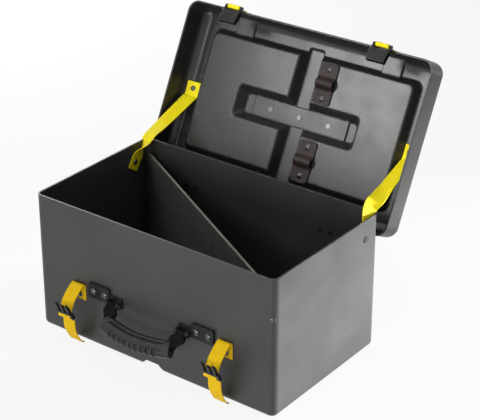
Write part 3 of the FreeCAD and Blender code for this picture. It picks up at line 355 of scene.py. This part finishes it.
def steel_material():
    n = Material("hinge_steel")
    dark, pale, stained = (0.30, 0.30, 0.30), (0.47, 0.465, 0.455), (0.17, 0.155, 0.14)
    brushed = n.noise(90.0, 3.0, 0.6, (0.08, 6.0, 6.0))
    tone = n.mix(n.ramp(brushed, BROAD), dark, pale)
    tone = n.mix(n.patches(60.0, (0.58, 0.75), (0.0, 0.5), 5.0), tone, stained)
    n.set(Metallic=1.0)
    return n.finish(tone, n.ramp(brushed, BROAD, (0.28, 0.45)),
                    n.bump(brushed, 0.12, 0.2 * MM, n.rounded(0.4 * MM)))


def leather_material():
    n = Material("holder_leather")
    dark, pale = (0.016, 0.009, 0.009), (0.033, 0.018, 0.0175)
    creased, rubbed = (0.010, 0.006, 0.006), (0.12, 0.072, 0.055)
    cells = n.add("ShaderNodeTexVoronoi", feature="DISTANCE_TO_EDGE")
    cells.inputs["Scale"].default_value = 950.0
    n.link(n.place(), cells.inputs["Vector"])
    crease = n.ramp(cells.outputs["Distance"], (0.0, 0.12))
    tone = n.mix(n.patches(90.0, BROAD, detail=4.0), dark, pale)
    tone = n.mix(crease, creased, tone)
    tone = n.mix(n.wear(1.2 * MM, 200.0, MIDDLE, (0.2, 0.9)), tone, rubbed)
    normal = n.bump(crease, 0.35, 0.25 * MM, n.bump(n.noise(70.0), 0.2, 1.0 * MM))
    n.set(Specular_IOR_Level=0.28)
    return n.finish(tone, n.patches(130.0, BROAD, (0.42, 0.58), 4.0), normal)


def board_material():
    # Pressed board, paler on its upward faces where its upper edge is cut: partly the cut fibre's own tone
    # and partly painted top light
    n = Material("divider_board")
    dark, pale = (0.032, 0.032, 0.031), (0.052, 0.052, 0.05)
    rubbed, sawn_and_top_lit = (0.30, 0.29, 0.27), (0.17, 0.155, 0.13)
    fibre = n.noise(140.0, 4.0, 0.65, (0.12, 0.12, 5.0))
    tone = n.mix(n.ramp(fibre, BROAD), dark, pale)
    tone = n.mix(n.wear(1.6 * MM, 45.0, (0.3, 0.6), (0.35, 1.0)), tone, rubbed)
    # Upward faces painted paler: the cut edge's own tone together with painted top light
    upward = n.ramp(n.split(n.face())["Z"], (0.8, 0.95))
    tone = n.mix(n.math("MULTIPLY", upward, n.ramp(fibre, BROAD, (0.6, 1.0))), tone, sawn_and_top_lit)
    normal = n.bump(fibre, 0.15, 0.4 * MM, n.rounded(0.8 * MM))
    n.set(Specular_IOR_Level=0.4)
    return n.finish(tone, n.patches(80.0, BROAD, (0.48, 0.62), 4.0), normal)


def grip_material():
    n = Material("grip_plastic")
    dark, pale = (0.013, 0.013, 0.013), (0.021, 0.021, 0.0205)
    tone = n.mix(n.patches(60.0, MIDDLE, detail=4.0), dark, pale)
    polish = n.patches(28.0, (0.45, 0.7), detail=4.0)
    normal = n.bump(n.noise(1700.0, 2.0), 0.16, 0.2 * MM, n.rounded(0.6 * MM))
    n.set(Specular_IOR_Level=0.3)
    return n.finish(tone, n.ramp(polish, FULL, (0.46, 0.33)), normal)


def plate_material():
    n = Material("plate_blank")
    dark, pale, rubbed = (0.034, 0.034, 0.033), (0.050, 0.050, 0.0485), (0.11, 0.108, 0.10)
    brushed = n.noise(120.0, 3.0, 0.6, (0.06, 5.0, 5.0))
    tone = n.mix(n.ramp(brushed, BROAD), dark, pale)
    tone = n.mix(n.wear(0.8 * MM, 150.0, (0.4, 0.65), (0.1, 0.8)), tone, rubbed)
    n.set(Specular_IOR_Level=0.5)
    return n.finish(tone, n.ramp(brushed, BROAD, (0.30, 0.42)),
                    n.bump(brushed, 0.06, 0.2 * MM, n.rounded(0.5 * MM)))


MAKERS = {
    "shell_plastic": shell_material,
    "lid_plastic": lid_material,
    "webbing": webbing_material,
    "webbing_front_shaded": shaded_front_webbing_material,
    "rivet_black": rivet_material,
    "buckle_plastic": buckle_material,
    "link_plastic": link_material,
    "hinge_steel": steel_material,
    "holder_leather": leather_material,
    "divider_board": board_material,
    "grip_plastic": grip_material,
    "plate_blank": plate_material,
}
FINISH = {name: make() for name, make in MAKERS.items()}
FINISH_OF = (
    # how a node's name starts, and its finish
    ("lid_shell", "lid_plastic"),
    ("divider_panel", "divider_board"),
    ("hinge_base_leaf", "hinge_steel"),
    ("hinge_lid_leaf", "hinge_steel"),
    ("hinge_pin", "hinge_steel"),
    ("badge_plate", "plate_blank"),
    ("handle_bracket_rivets", "rivet_black"),
    ("handle_bracket", "buckle_plastic"),
    ("handle_pins", "hinge_steel"),
    ("handle_core", "buckle_plastic"),
    ("handle_grip", "grip_plastic"),
    ("male_buckle", "buckle_plastic"),
    ("female_buckle", "buckle_plastic"),
    ("holder_loop", "holder_leather"),
    ("stay_strap", "webbing"),
)


def finish_name(name):
    for start, finish in FINISH_OF:
        if name.startswith(start):
            return finish
    return "rivet_black" if name.endswith("rivets") else "shell_plastic"


# Rounded edges on the moulded and pressed pieces
ROUNDED = (
    ("male_buckle", 0.9 * MM),
    ("female_buckle", 0.8 * MM),
    ("handle_bracket_left", 0.6 * MM),
    ("handle_bracket_right", 0.6 * MM),
    ("divider_bracket", 0.8 * MM),
)
ROUND_SEGMENTS = 3
ROUND_ANGLE = math.radians(35)
for name, obj in nodes.items():
    obj.data.materials.clear()
    obj.data.materials.append(FINISH[finish_name(name)])
    for start, radius in ROUNDED:
        if name.startswith(start):
            soften = obj.modifiers.new("soften", "BEVEL")
            soften.width = radius
            soften.segments = ROUND_SEGMENTS
            soften.limit_method = "ANGLE"
            soften.angle_limit = ROUND_ANGLE
            soften.harden_normals = True


# Mesh helpers
SMOOTH_PARTS = 16
PATH_STEP = 4.0 * MM
WEB_STEP = 2.0 * MM
WEB_COLUMNS = 14
EDGE_SHARE = 0.045
SELVAGE = 0.12
SELVAGE_START = 0.8
TINY = 1e-9


def loft(name, rings, across=None, along=None):
    # Joins rings of points with quads and closes the ends; across and along are the UVs in metres
    count = len(rings[0])
    last = len(rings) - 1
    faces = []
    for row in range(last):
        for column in range(count):
            beside = (column + 1) % count
            faces.append([(row, column), (row, beside), (row + 1, beside), (row + 1, column)])
    faces.append([(0, column) for column in reversed(range(count))])
    faces.append([(last, column) for column in range(count)])
    mesh = bpy.data.meshes.new(name)
    points = [point for ring in rings for point in ring]
    mesh.from_pydata(points, [], [[row * count + column for row, column in face] for face in faces])
    if across:
        layer = mesh.uv_layers.new(name="UVMap")
        corners = [corner for face in faces for corner in face]
        for loop, (row, column) in zip(layer.data, corners):
            loop.uv = (across[column], along[row])
    return mesh


def piece(name, rings, finish, sharp=40, across=None, along=None):
    mesh = loft(name, rings, across, along)
    obj = bpy.data.objects.new(name, mesh)
    scene.collection.objects.link(obj)
    work = bmesh.new()
    work.from_mesh(mesh)
    bmesh.ops.recalc_face_normals(work, faces=work.faces)
    work.to_mesh(mesh)
    work.free()
    for face in mesh.polygons:
        face.use_smooth = True
    mesh.set_sharp_from_angle(angle=math.radians(sharp))
    mesh.materials.append(FINISH[finish])
    return obj


def lengths(path):
    total = [0.0]
    for first, second in zip(path, path[1:]):
        total.append(total[-1] + (second - first).length)
    return total


def resample(path, step):
    # Even points along a path
    total = lengths(path)
    count = max(2, int(round(total[-1] / step)))
    made = []
    index = 0
    for k in range(count + 1):
        want = total[-1] * k / count
        while index < len(total) - 2 and total[index + 1] < want:
            index += 1
        span = total[index + 1] - total[index]
        share = (want - total[index]) / span if span else 0.0
        made.append(path[index].lerp(path[index + 1], share))
    return made


def smooth(points, parts=SMOOTH_PARTS):
    # A curve through the points
    ends = [points[0] * 2 - points[1]] + list(points) + [points[-1] * 2 - points[-2]]
    made = []
    for a, b, c, d in zip(ends, ends[1:], ends[2:], ends[3:]):
        for k in range(parts):
            t = k / parts
            made.append(0.5 * ((2 * b) + (c - a) * t + (2 * a - 5 * b + 4 * c - d) * t * t
                               + (3 * b - a - 3 * c + d) * t ** 3))
    return made + [points[-1].copy()]


def ease(share):
    return 3 * share ** 2 - 2 * share ** 3


def arc(centre, radius, start, end, parts=14):
    # Angles in degrees from +Y towards +Z
    made = []
    for k in range(parts + 1):
        angle = math.radians(start + (end - start) * k / parts)
        made.append(centre + Vector((0, math.cos(angle), math.sin(angle))) * radius)
    return made


def oval(steps, half_wide, half_thick, wide_power, thick_power):
    # Points round a section; powers of 1 give an ellipse, and smaller ones a squarer form
    made = []
    for k in range(steps):
        angle = math.radians(k * 360 / steps)
        c, s = math.cos(angle), math.sin(angle)
        made.append((math.copysign(abs(c) ** wide_power, c) * half_wide,
                     math.copysign(abs(s) ** thick_power, s) * half_thick))
    return made


def heading(points, k):
    return (points[min(k + 1, len(points) - 1)] - points[max(k - 1, 0)]).normalized()


def web_profile():
    # A flat woven band with a slightly thicker, rounded selvage
    half, quarter = web_width / 2, web_thick / 4
    top = []
    for k in range(WEB_COLUMNS + 1):
        share = k / WEB_COLUMNS * 2 - 1
        swell = 1 + SELVAGE * max(0.0, abs(share) - SELVAGE_START) / (1 - SELVAGE_START)
        top.append((share * (1 - EDGE_SHARE) * half, swell * web_thick / 2))
    low = [(a, -b) for a, b in reversed(top)]
    return top + [(half, quarter), (half, -quarter)] + low + [(-half, -quarter), (-half, quarter)]


def strip(name, path, wides, finish="webbing", matrix=None):
    # A band along a path; wides is one width direction or one for each point of the path
    if isinstance(wides, Vector):
        wides = [wides] * len(path)
    total = lengths(path)
    dense = resample(path, WEB_STEP)
    marks = lengths(dense)
    profile = web_profile()
    rings = []
    for k, point in enumerate(dense):
        along = heading(dense, k)
        want = min(marks[k], total[-1])
        index = max(i for i in range(len(total)) if total[i] <= want + TINY)
        other = min(index + 1, len(total) - 1)
        span = total[other] - total[index]
        share = (want - total[index]) / span if span > TINY else 0.0
        wide = wides[index].lerp(wides[other], share)
        wide = (wide - along * wide.dot(along)).normalized()
        out = along.cross(wide).normalized()
        ring = [point + wide * a + out * b for a, b in profile]
        rings.append([matrix @ p for p in ring] if matrix else ring)
    return piece(name, rings, finish, across=[a for a, b in profile], along=marks)


# Latches: the strap goes up from its rivet, over a fold, down to the bar, and its tail hangs from the bar
BAR_RADIUS = 2.03 * MM
FOLD_ARC = 112
STRAP_SAG = 5.0 * MM
STRAP_HUG = 66
STRAP_LAYER = 1.5
LAYER_GAP = 0.15 * MM
TAIL_WRAP = (-70, 235)
WRAP_PARTS = 26
HUG_PARTS = 12
TAIL_SHARE = 0.5
TAIL_BULGE = Vector((0.0, 4.5 * MM, 0.0))
TAIL_TUCK = Vector((0.0, 5.6 * MM, -7.5 * MM))
TAIL_FOOT_SHARE = 0.25
TAIL_FOOT_SHIFT = Vector((0.0, -2.5 * MM, -1.5 * MM))
layer_y = wall_y - web_thick / 2
fold_radius = layer_y - pivot("latch_right_swing").y
for side, sign in SIDES:
    fold = pivot("latch_%s_swing" % side)
    bar = pivot("male_%s_pivot" % side)
    x_shift = Vector((sign * latch_x, 0, 0))
    fold = Vector((0, fold.y, fold.z))
    bar = Vector((0, bar.y, bar.z))
    chord = bar - fold
    out = Vector((0, chord.z, -chord.y)).normalized()
    middle = (fold + bar) / 2 + out * (STRAP_SAG + fold_radius)
    up_wall = [Vector((0, layer_y, anchor_low.z + web_thick)), Vector((0, layer_y, fold.z))]
    over = arc(fold, fold_radius, 0, FOLD_ARC)
    wrap_radius = BAR_RADIUS + web_thick * STRAP_LAYER + LAYER_GAP
    landing_angle = math.degrees(math.atan2(out.z, out.y))
    landing = bar + out * wrap_radius
    path = up_wall[:1] + resample(up_wall, PATH_STEP)[1:-1] + over
    path += smooth([over[-2], over[-1], middle, landing])[SMOOTH_PARTS:-1]
    path += arc(bar, wrap_radius, landing_angle, landing_angle + STRAP_HUG, HUG_PARTS)
    path = [p + x_shift for p in path]
    strap = strip("latch_webbing_" + side, path, X_AXIS, finish="webbing_front_shaded")
    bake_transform(strap)
    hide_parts("latch_anchor_" + side, "latch_strap_" + side)

    tail_low, tail_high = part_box("latch_tail_" + side)
    wrap = arc(bar, BAR_RADIUS + web_thick / 2, *TAIL_WRAP, WRAP_PARTS)
    lead = wrap[-1]
    tail_end = Vector((0, tail_high.y - web_thick / 2, tail_low.z + web_thick / 2))
    tail_middle = lead.lerp(tail_end, TAIL_SHARE) - TAIL_BULGE
    tail_foot = tail_end.lerp(tail_middle, TAIL_FOOT_SHARE) + TAIL_FOOT_SHIFT
    hanging = smooth([wrap[-2], lead, bar + TAIL_TUCK, tail_middle, tail_foot, tail_end])
    path = [p + x_shift for p in wrap[:-1] + hanging[SMOOTH_PARTS:]]
    tail = strip("latch_tail_webbing_" + side, path, X_AXIS, finish="webbing_front_shaded")
    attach(tail, "male_" + side)
    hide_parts("latch_tail_" + side)

# Lid webbing: from its recess over the lid's front edge to a loop round the buckle's bar
LOOP_CLEARANCE = 0.3 * MM
LOOP_WRAP = -300
BEND_RADIUS = 20.8 * MM
BEND_DROP = 16.8 * MM
BEND_PARTS = 10
bend_angle = math.asin(BEND_DROP / BEND_RADIUS)
for side, sign in SIDES:
    web_back = boxed("lid_webbing_" + side, CLOSE)[1]
    loop_place = CLOSE @ pivot("female_%s_fold" % side)
    loop = Vector((0, loop_place.y, loop_place.z))
    loop_radius = BAR_RADIUS + LOOP_CLEARANCE + web_thick / 2
    run_y = loop.y + loop_radius
    top_z = web_back.z - web_thick / 2
    bend = Vector((0, run_y + BEND_RADIUS, top_z - BEND_DROP))
    bend_start = bend + Vector((0, -BEND_RADIUS * math.cos(bend_angle), BEND_DROP))
    path = resample([Vector((0, web_back.y, top_z)), bend_start], PATH_STEP)[:-1]
    path += arc(bend, BEND_RADIUS, 180 - math.degrees(bend_angle), 180, BEND_PARTS)
    path += resample([path[-1], Vector((0, run_y, loop.z))], PATH_STEP)[1:-1]
    path += arc(loop, loop_radius, 0, LOOP_WRAP, WRAP_PARTS)
    path = [p + Vector((sign * latch_x, 0, 0)) for p in path]
    web = strip("lid_webbing_band_" + side, path, X_AXIS, matrix=OPEN)
    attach(web, "lid")
    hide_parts("lid_webbing_" + side)

# Stays: flat on the tub's side, then twisted over the back rim to the lid
WALL = 3.2 * MM
RIM_INSET = Vector((12.0 * MM, 9.0 * MM, -6.5 * MM))
STAY_TAB = 14.0 * MM
STAY_FLAT = 10.0 * MM
STAY_RUN = 12.0 * MM
STAY_X_LIMIT = 224.0 * MM
STAY_LEAN = math.radians(18)
STAY_KNOTS = (0.22, 0.5)
STAY_TWIST = {"left": (0.72, 0.8, 0.9), "right": (0.36, 0.56, 0.82)}
STAY_PARTS = 10
rivet_low, rivet_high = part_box("stay_base_rivets")
lid_low, lid_high = boxed("stay_lid_rivets", CLOSE)
for side, sign in SIDES:
    first = Vector((sign * (base_high.x - WALL - web_thick / 2), (rivet_low.y + rivet_high.y) / 2,
                    (rivet_low.z + rivet_high.z) / 2))
    rim = Vector((sign * (base_high.x - RIM_INSET.x), base_high.y - RIM_INSET.y, base_high.z - RIM_INSET.z))
    run = Vector((0, rim.y - first.y, rim.z - first.z)).normalized()
    beside = Vector((0, run.z, -run.y)) * sign
    node_low, node_high = boxed("stay_strap_" + side, CLOSE)
    lid_x = (node_high.x if sign > 0 else node_low.x) - sign * math.cos(STAY_LEAN) * web_width / 2
    lid_x = sign * min(abs(lid_x), STAY_X_LIMIT)
    lid_y = (lid_low.y + lid_high.y) / 2
    lid_z = node_high.z - web_thick / 2 - math.sin(STAY_LEAN) * web_width / 2
    near = OPEN @ Vector((lid_x, lid_y + STAY_RUN, lid_z))
    far = OPEN @ Vector((lid_x, lid_y - STAY_RUN, lid_z))
    lid_wide = OPEN.to_3x3() @ Vector((math.cos(STAY_LEAN), 0, -sign * math.sin(STAY_LEAN)))
    reach = (near - rim).normalized()
    knots = [first - run * STAY_TAB, first, first + run * STAY_FLAT, rim]
    knots += [rim.lerp(near, share) for share in STAY_KNOTS] + [near - reach * STAY_FLAT, near, far]
    turned = [beside] * 3 + [beside.lerp(lid_wide, share).normalized() for share in STAY_TWIST[side]]
    turned += [lid_wide] * 3
    wides = []
    for a, b in zip(turned, turned[1:]):
        wides += [a.lerp(b, ease(k / STAY_PARTS)).normalized() for k in range(STAY_PARTS)]
    wides.append(turned[-1])
    stay = strip("stay_webbing_" + side, smooth(knots, STAY_PARTS), wides)
    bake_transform(stay)
    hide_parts("stay_strap_" + side)

# Leather holders with a tunnel for a rod
HOLDER_THICK = 2.8 * MM
HOLDER_STEP = 1.5 * MM
HOLDER_PARTS = 8
HOLDER_STEPS = 24
HOLDER_POWERS = (0.16, 0.5)
HOLDER_FLAT = 0.6
TUNNEL = 6.5 * MM
TUNNEL_FOOT = (1.75 * TUNNEL, 0.4 * MM)
TUNNEL_SIDE = (0.98 * TUNNEL, 4.5 * MM)
TUNNEL_CROWN = (0.55 * TUNNEL, 1.2 * MM)
CORNER = 6.0 * MM
CORNER_CUT = 0.9
for label in ("upper", "lower"):
    low, high = boxed("holder_loop_" + label, CLOSE)
    centre = (low + high) / 2
    flat_z = high.z - HOLDER_THICK / 2
    hump_z = low.z + HOLDER_THICK / 2
    half = (high.y - low.y) / 2
    flank = [(half, flat_z), (half * HOLDER_FLAT, flat_z), (TUNNEL_FOOT[0], flat_z - TUNNEL_FOOT[1]),
             (TUNNEL_SIDE[0], flat_z - TUNNEL_SIDE[1]), (TUNNEL_CROWN[0], hump_z + TUNNEL_CROWN[1])]
    shape = [(-y, z) for y, z in flank] + [(0.0, hump_z)] + flank[::-1]
    path = smooth([Vector((centre.x, centre.y + y, z)) for y, z in shape], HOLDER_PARTS)
    dense = resample(path, HOLDER_STEP)
    marks = lengths(dense)
    rings = []
    for k, point in enumerate(dense):
        normal = heading(dense, k).cross(X_AXIS).normalized()
        from_end = min(marks[k], marks[-1] - marks[k])
        trim = 0.0
        if from_end < CORNER:
            trim = CORNER - math.sqrt(CORNER ** 2 - (CORNER - from_end) ** 2)
        reach = (high.x - low.x) / 2 - trim * CORNER_CUT
        section = oval(HOLDER_STEPS, reach, HOLDER_THICK / 2, *HOLDER_POWERS)
        rings.append([OPEN @ (point + X_AXIS * a + normal * b) for a, b in section])
    holder = piece("holder_leather_" + label, rings, "holder_leather", sharp=60)
    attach(holder, "lid")
    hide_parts("holder_loop_" + label)

# Handle grip: a bowed, oval bar with a groove along its top and finger slots along its outer edge
DROOP = math.radians(48)
GRIP_BOW = 9.5 * MM
GRIP_SPARE = 0.6 * MM
GRIP_STATIONS = 200
GRIP_STEPS = 64
GRIP_POWERS = (0.85, 0.85)
COLLAR_SHARE = 0.13
COLLAR_FADE = 0.05
CAP_LENGTH = 2.2 * MM
END_SIZE, CAP_SIZE, TAPER_SIZE = 0.9, 0.07, 0.03
TAPER_SHARE = 0.2
SLOT_PITCH = 10.6 * MM
SLOT_COUNT = 9
SLOT_HALF = 0.27
SLOT_START = 5.0 * MM
SLOT_FADE = 2.5 * MM
SLOT_IN, SLOT_DOWN, SLOT_UNDER = 2.3 * MM, 3.2 * MM, 0.6
GROOVE_PLACE, GROOVE_WIDE, GROOVE_DEEP = -7.5 * MM, 1.9 * MM, 2.6 * MM
RIDGE_PLACE, RIDGE_WIDE, RIDGE_HIGH = -1.5 * MM, 3.4 * MM, 0.9 * MM
handle = pivot("handle_swing")
DROP = Matrix.Translation(Vector((0, handle.y, handle.z))) @ Matrix.Rotation(math.pi - DROOP, 4, "X")
LIFT = DROP.inverted()
grip_low, grip_high = boxed("handle_grip", LIFT)
grip_half = grip_high.x
semi_short = (grip_high.y - grip_low.y) / 2
semi_long = (grip_high.z - grip_low.z - GRIP_BOW) / 2 + GRIP_SPARE
grip_centre = grip_high.z - semi_long


def swell(place, middle, wide):
    return math.exp(-((place - middle) / wide) ** 2)


rings = []
for k in range(GRIP_STATIONS + 1):
    share = k / GRIP_STATIONS * 2 - 1
    x = grip_half * share
    w = grip_centre - GRIP_BOW * share * share
    slope = math.atan2(-2 * GRIP_BOW * share / grip_half, 1.0)
    radial = Vector((-math.sin(slope), 0, math.cos(slope)))
    end = 1 - abs(share)
    cap = min(1.0, end * grip_half / CAP_LENGTH)
    taper = END_SIZE + CAP_SIZE * math.sqrt(1 - (1 - cap) ** 2) + TAPER_SIZE * min(1.0, end / TAPER_SHARE)
    slot = round(x / SLOT_PITCH)
    gap = abs(x / SLOT_PITCH - slot)
    cutting = 0.0
    if abs(slot) <= SLOT_COUNT // 2 and gap < SLOT_HALF:
        cutting = 1 - (gap / SLOT_HALF) ** 4
    ring = []
    for a, b in oval(GRIP_STEPS, semi_long * taper, semi_short * taper, *GRIP_POWERS):
        if end >= COLLAR_SHARE:
            fade = min(1.0, (end - COLLAR_SHARE) / COLLAR_FADE)
            bite = cutting * max(0.0, min(1.0, (a - SLOT_START) / SLOT_FADE))
            down = math.copysign(bite * SLOT_DOWN, b) * (1.0 if b > 0 else SLOT_UNDER)
            if b > 0:
                b -= swell(a, GROOVE_PLACE, GROOVE_WIDE) * GROOVE_DEEP * fade
                b += swell(a, RIDGE_PLACE, RIDGE_WIDE) * RIDGE_HIGH * fade
            a -= bite * SLOT_IN
            b -= down
        ring.append(DROP @ (Vector((x, 0, w)) + radial * a + Vector((0, b, 0))))
    rings.append(ring)
grip = piece("handle_grip_moulding", rings, "grip_plastic", sharp=50)
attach(grip, "handle")
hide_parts("handle_grip")

# Handle links: an eye on the pin, then a wide flat band down into the grip's end
LINK_ROWS = (
    # mm from the pin, inner and outer edge as mm beyond the eye's ends, half thickness in mm
    (0.0, 0.0, 0.0, 3.2),
    (4.2, 0.0, 0.0, 3.4),
    (6.6, 3.4, 2.6, 4.0),
    (11.0, 6.4, 3.6, 4.6),
    (15.5, 8.2, 1.4, 4.9),
)
COLLAR_ROWS = (
    # the same, with mm from the middle of the grip's end
    (-12.2, 5.0, -2.4, 5.2),
    (-9.6, 2.6, -5.6, 6.2),
    (-6.0, 2.4, -8.6, 7.6),
    (0.0, 2.4, -10.0, 8.6),
    (6.0, 2.2, -10.8, 7.8),
    (10.6, 2.0, -11.6, 5.6),
    (13.9, 1.6, -12.8, 2.6),
)
LINK_STEPS = 40
LINK_POWERS = (0.3, 0.7)
LINK_SHARP = 55
GRIP_END_BOW = 0.94
LUG = 4.3 * MM
EYE_RADIUS = 4.3 * MM
EYE_SPANS = 8
EYE_STEPS = 36
EYE_TRIM = 0.12
EYE_TRIM_START = 0.75
eye_out = boxed("handle_core", LIFT)[1].x
eye_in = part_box("handle_bracket_right")[0].x + LUG
eye_middle = (eye_in + eye_out) / 2
eye_half = (eye_out - eye_in) / 2
grip_end = grip_centre - GRIP_BOW * GRIP_END_BOW
link_rows = [(at * MM, inner, outer, thick) for at, inner, outer, thick in LINK_ROWS]
link_rows += [(grip_end + at * MM, inner, outer, thick) for at, inner, outer, thick in COLLAR_ROWS]
for side, sign in SIDES:
    rings = []
    for w, inner, outer, thick in link_rows:
        x0 = eye_in - inner * MM
        x1 = eye_out + outer * MM
        middle = (x0 + x1) / 2
        section = oval(LINK_STEPS, (x1 - x0) / 2, thick * MM, *LINK_POWERS)
        rings.append([DROP @ Vector((sign * (middle + a), b, w)) for a, b in section])
    link = piece("handle_link_" + side, rings, "link_plastic", sharp=LINK_SHARP)
    refine = link.modifiers.new("soft", "SUBSURF")
    refine.levels = refine.render_levels = 1
    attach(link, "handle")
    rings = []
    for k in range(EYE_SPANS + 1):
        share = k / EYE_SPANS * 2 - 1
        trim = EYE_TRIM * max(0.0, abs(share) - EYE_TRIM_START) / (1 - EYE_TRIM_START)
        radius = EYE_RADIUS * (1 - trim)
        x = sign * (eye_middle + share * eye_half)
        rings.append([DROP @ Vector((x, a, b)) for a, b in oval(EYE_STEPS, radius, radius, 1, 1)])
    eye = piece("handle_eye_" + side, rings, "link_plastic", sharp=LINK_SHARP)
    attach(eye, "handle")
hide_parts("handle_core")

# Ribs on both faces of the female buckles, laid out on the buckle turned flat against the closed lid
FOLD = math.radians(70.5)
RIBS = 6
RIB_PITCH = 2.7 * MM
RIB_PARTS = 12
RIB_START = 2.6 * MM
RIB_MARGIN = 3.2 * MM
RIB_HIGH = 0.75 * MM
RIB_SINK = 0.15 * MM
RIB_ROOT = 0.9 * MM
RIB_END_POWER = 8
shares = [k / RIB_PARTS * 2 - 1 for k in range(RIB_PARTS + 1)]
for side in ("left", "right"):
    to_flat = CLOSE @ turn(-FOLD, pivot("female_%s_fold" % side))
    from_flat = to_flat.inverted()
    low, high = boxed("female_buckle_" + side, to_flat)
    half = (high.x - low.x) / 2 - RIB_MARGIN
    mid_x = (high.x + low.x) / 2
    for face, face_y, way in (("front", low.y, -1), ("back", high.y, 1)):
        rings = []
        for k in range(RIBS * RIB_PARTS + 1):
            z = low.z + RIB_START + RIB_PITCH * k / RIB_PARTS
            lift = (0.5 - 0.5 * math.cos(2 * math.pi * k / RIB_PARTS)) * RIB_HIGH
            ring = []
            for share in shares:
                ends = max(0.0, 1 - abs(share) ** RIB_END_POWER)
                ring.append(Vector((mid_x + share * half, face_y + way * (lift * ends - RIB_SINK), z)))
            for share in reversed(shares):
                ring.append(Vector((mid_x + share * half, face_y - way * RIB_ROOT, z)))
            rings.append([from_flat @ p for p in ring])
        ribs = piece("female_ribs_%s_%s" % (face, side), rings, "buckle_plastic", sharp=60)
        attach(ribs, "female_" + side)

# Camera at the photograph's viewing angle
VIEW_RIGHT = Vector((0.7965, 0.6047, 0.0)).normalized()
VIEW_BACK = Vector((0.5396, -0.7108, 0.4513)).normalized()
VIEW_UP = VIEW_BACK.cross(VIEW_RIGHT).normalized()
CAMERA_RIGHT, CAMERA_UP, CAMERA_BACK = 55.6 * MM, 204.2 * MM, 2684.8 * MM
CAMERA_SENSOR = 36.0
CAMERA_LENS = 120.87
CAMERA_REACH = 50.0
camera_data = bpy.data.cameras.new("camera")
camera_data.sensor_fit = "HORIZONTAL"
camera_data.sensor_width = CAMERA_SENSOR
camera_data.lens = CAMERA_LENS
camera_data.clip_end = CAMERA_REACH
camera = bpy.data.objects.new("camera", camera_data)
pose = Matrix((VIEW_RIGHT, VIEW_UP, VIEW_BACK)).transposed().to_4x4()
pose.translation = VIEW_RIGHT * CAMERA_RIGHT + VIEW_UP * CAMERA_UP + VIEW_BACK * CAMERA_BACK
camera.matrix_world = pose
scene.collection.objects.link(camera)
scene.camera = camera

# Floor: pale, and mostly white to the rays that show it, so that it keeps a light shadow
FLOOR_REACH = 6.0
FLOOR_DROP = 0.5 * MM
FLOOR_TONE = (0.86, 0.86, 0.85, 1.0)
FLOOR_WHITE = 0.88
floor_mesh = bpy.data.meshes.new("floor")
floor_corners = [(x * FLOOR_REACH, y * FLOOR_REACH, 0) for x, y in ((-1, -1), (1, -1), (1, 1), (-1, 1))]
floor_mesh.from_pydata(floor_corners, [], [(0, 1, 2, 3)])
floor = bpy.data.objects.new("floor", floor_mesh)
floor.location.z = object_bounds()[0].z - FLOOR_DROP
scene.collection.objects.link(floor)
paint = Material("floor")
paint.set(Base_Color=FLOOR_TONE, Roughness=0.9, Specular_IOR_Level=0.1)
white = paint.add("ShaderNodeEmission")
white.inputs["Color"].default_value = WHITE
white.inputs["Strength"].default_value = 1.0
share = paint.math("MULTIPLY", paint.seen(), FLOOR_WHITE)
paint.surface("Material Output", share, paint.shader.outputs[0], white.outputs[0])
floor_mesh.materials.append(paint.material)

# World: a weak even light, and plain white to the rays that show it
SKY_STRENGTH = 0.07
world = bpy.data.worlds.new("studio")
scene.world = world
world.use_nodes = True
studio = Tree(world.node_tree)
sky = studio.tree.nodes["Background"]
paper = studio.add("ShaderNodeBackground")
for shader, strength in ((sky, SKY_STRENGTH), (paper, 1.0)):
    shader.inputs["Color"].default_value = WHITE
    shader.inputs["Strength"].default_value = strength
studio.surface("World Output", studio.seen(), sky.outputs[0], paper.outputs[0])

LAMPS = (
    # name, place, aim, size, all in metres, then power in watts and spread in degrees
    ("rim_right", (1.5, 1.6, 0.16), (0.24, 0.05, 0.05), (1.1, 0.28), 7.7, 20),
    ("lid_soft", (-0.50, -0.70, 0.98), (0.10, 0.28, 0.47), (0.5, 0.5), 1.15, 62),
    ("top_soft", (0.3, -0.3, 2.6), (0.0, 0.0, 0.2), (2.2, 2.2), 22.0, 180),
    ("front_low", (0.4, -2.4, 0.35), (0.0, 0.0, 0.15), (1.6, 0.6), 32.0, 180),
    ("left_fill", (-1.8, 1.0, 0.6), (0.0, 0.0, 0.2), (1.0, 1.0), 22.0, 180),
)
for name, place, aim, size, power, spread in LAMPS:
    data = bpy.data.lights.new(name, "AREA")
    data.shape = "RECTANGLE"
    data.size, data.size_y = size
    data.energy = power
    data.spread = math.radians(spread)
    obj = bpy.data.objects.new(name, data)
    obj.location = place
    obj.rotation_euler = (Vector(aim) - Vector(place)).to_track_quat("-Z", "Y").to_euler()
    scene.collection.objects.link(obj)

scene.view_settings.view_transform = "Standard"
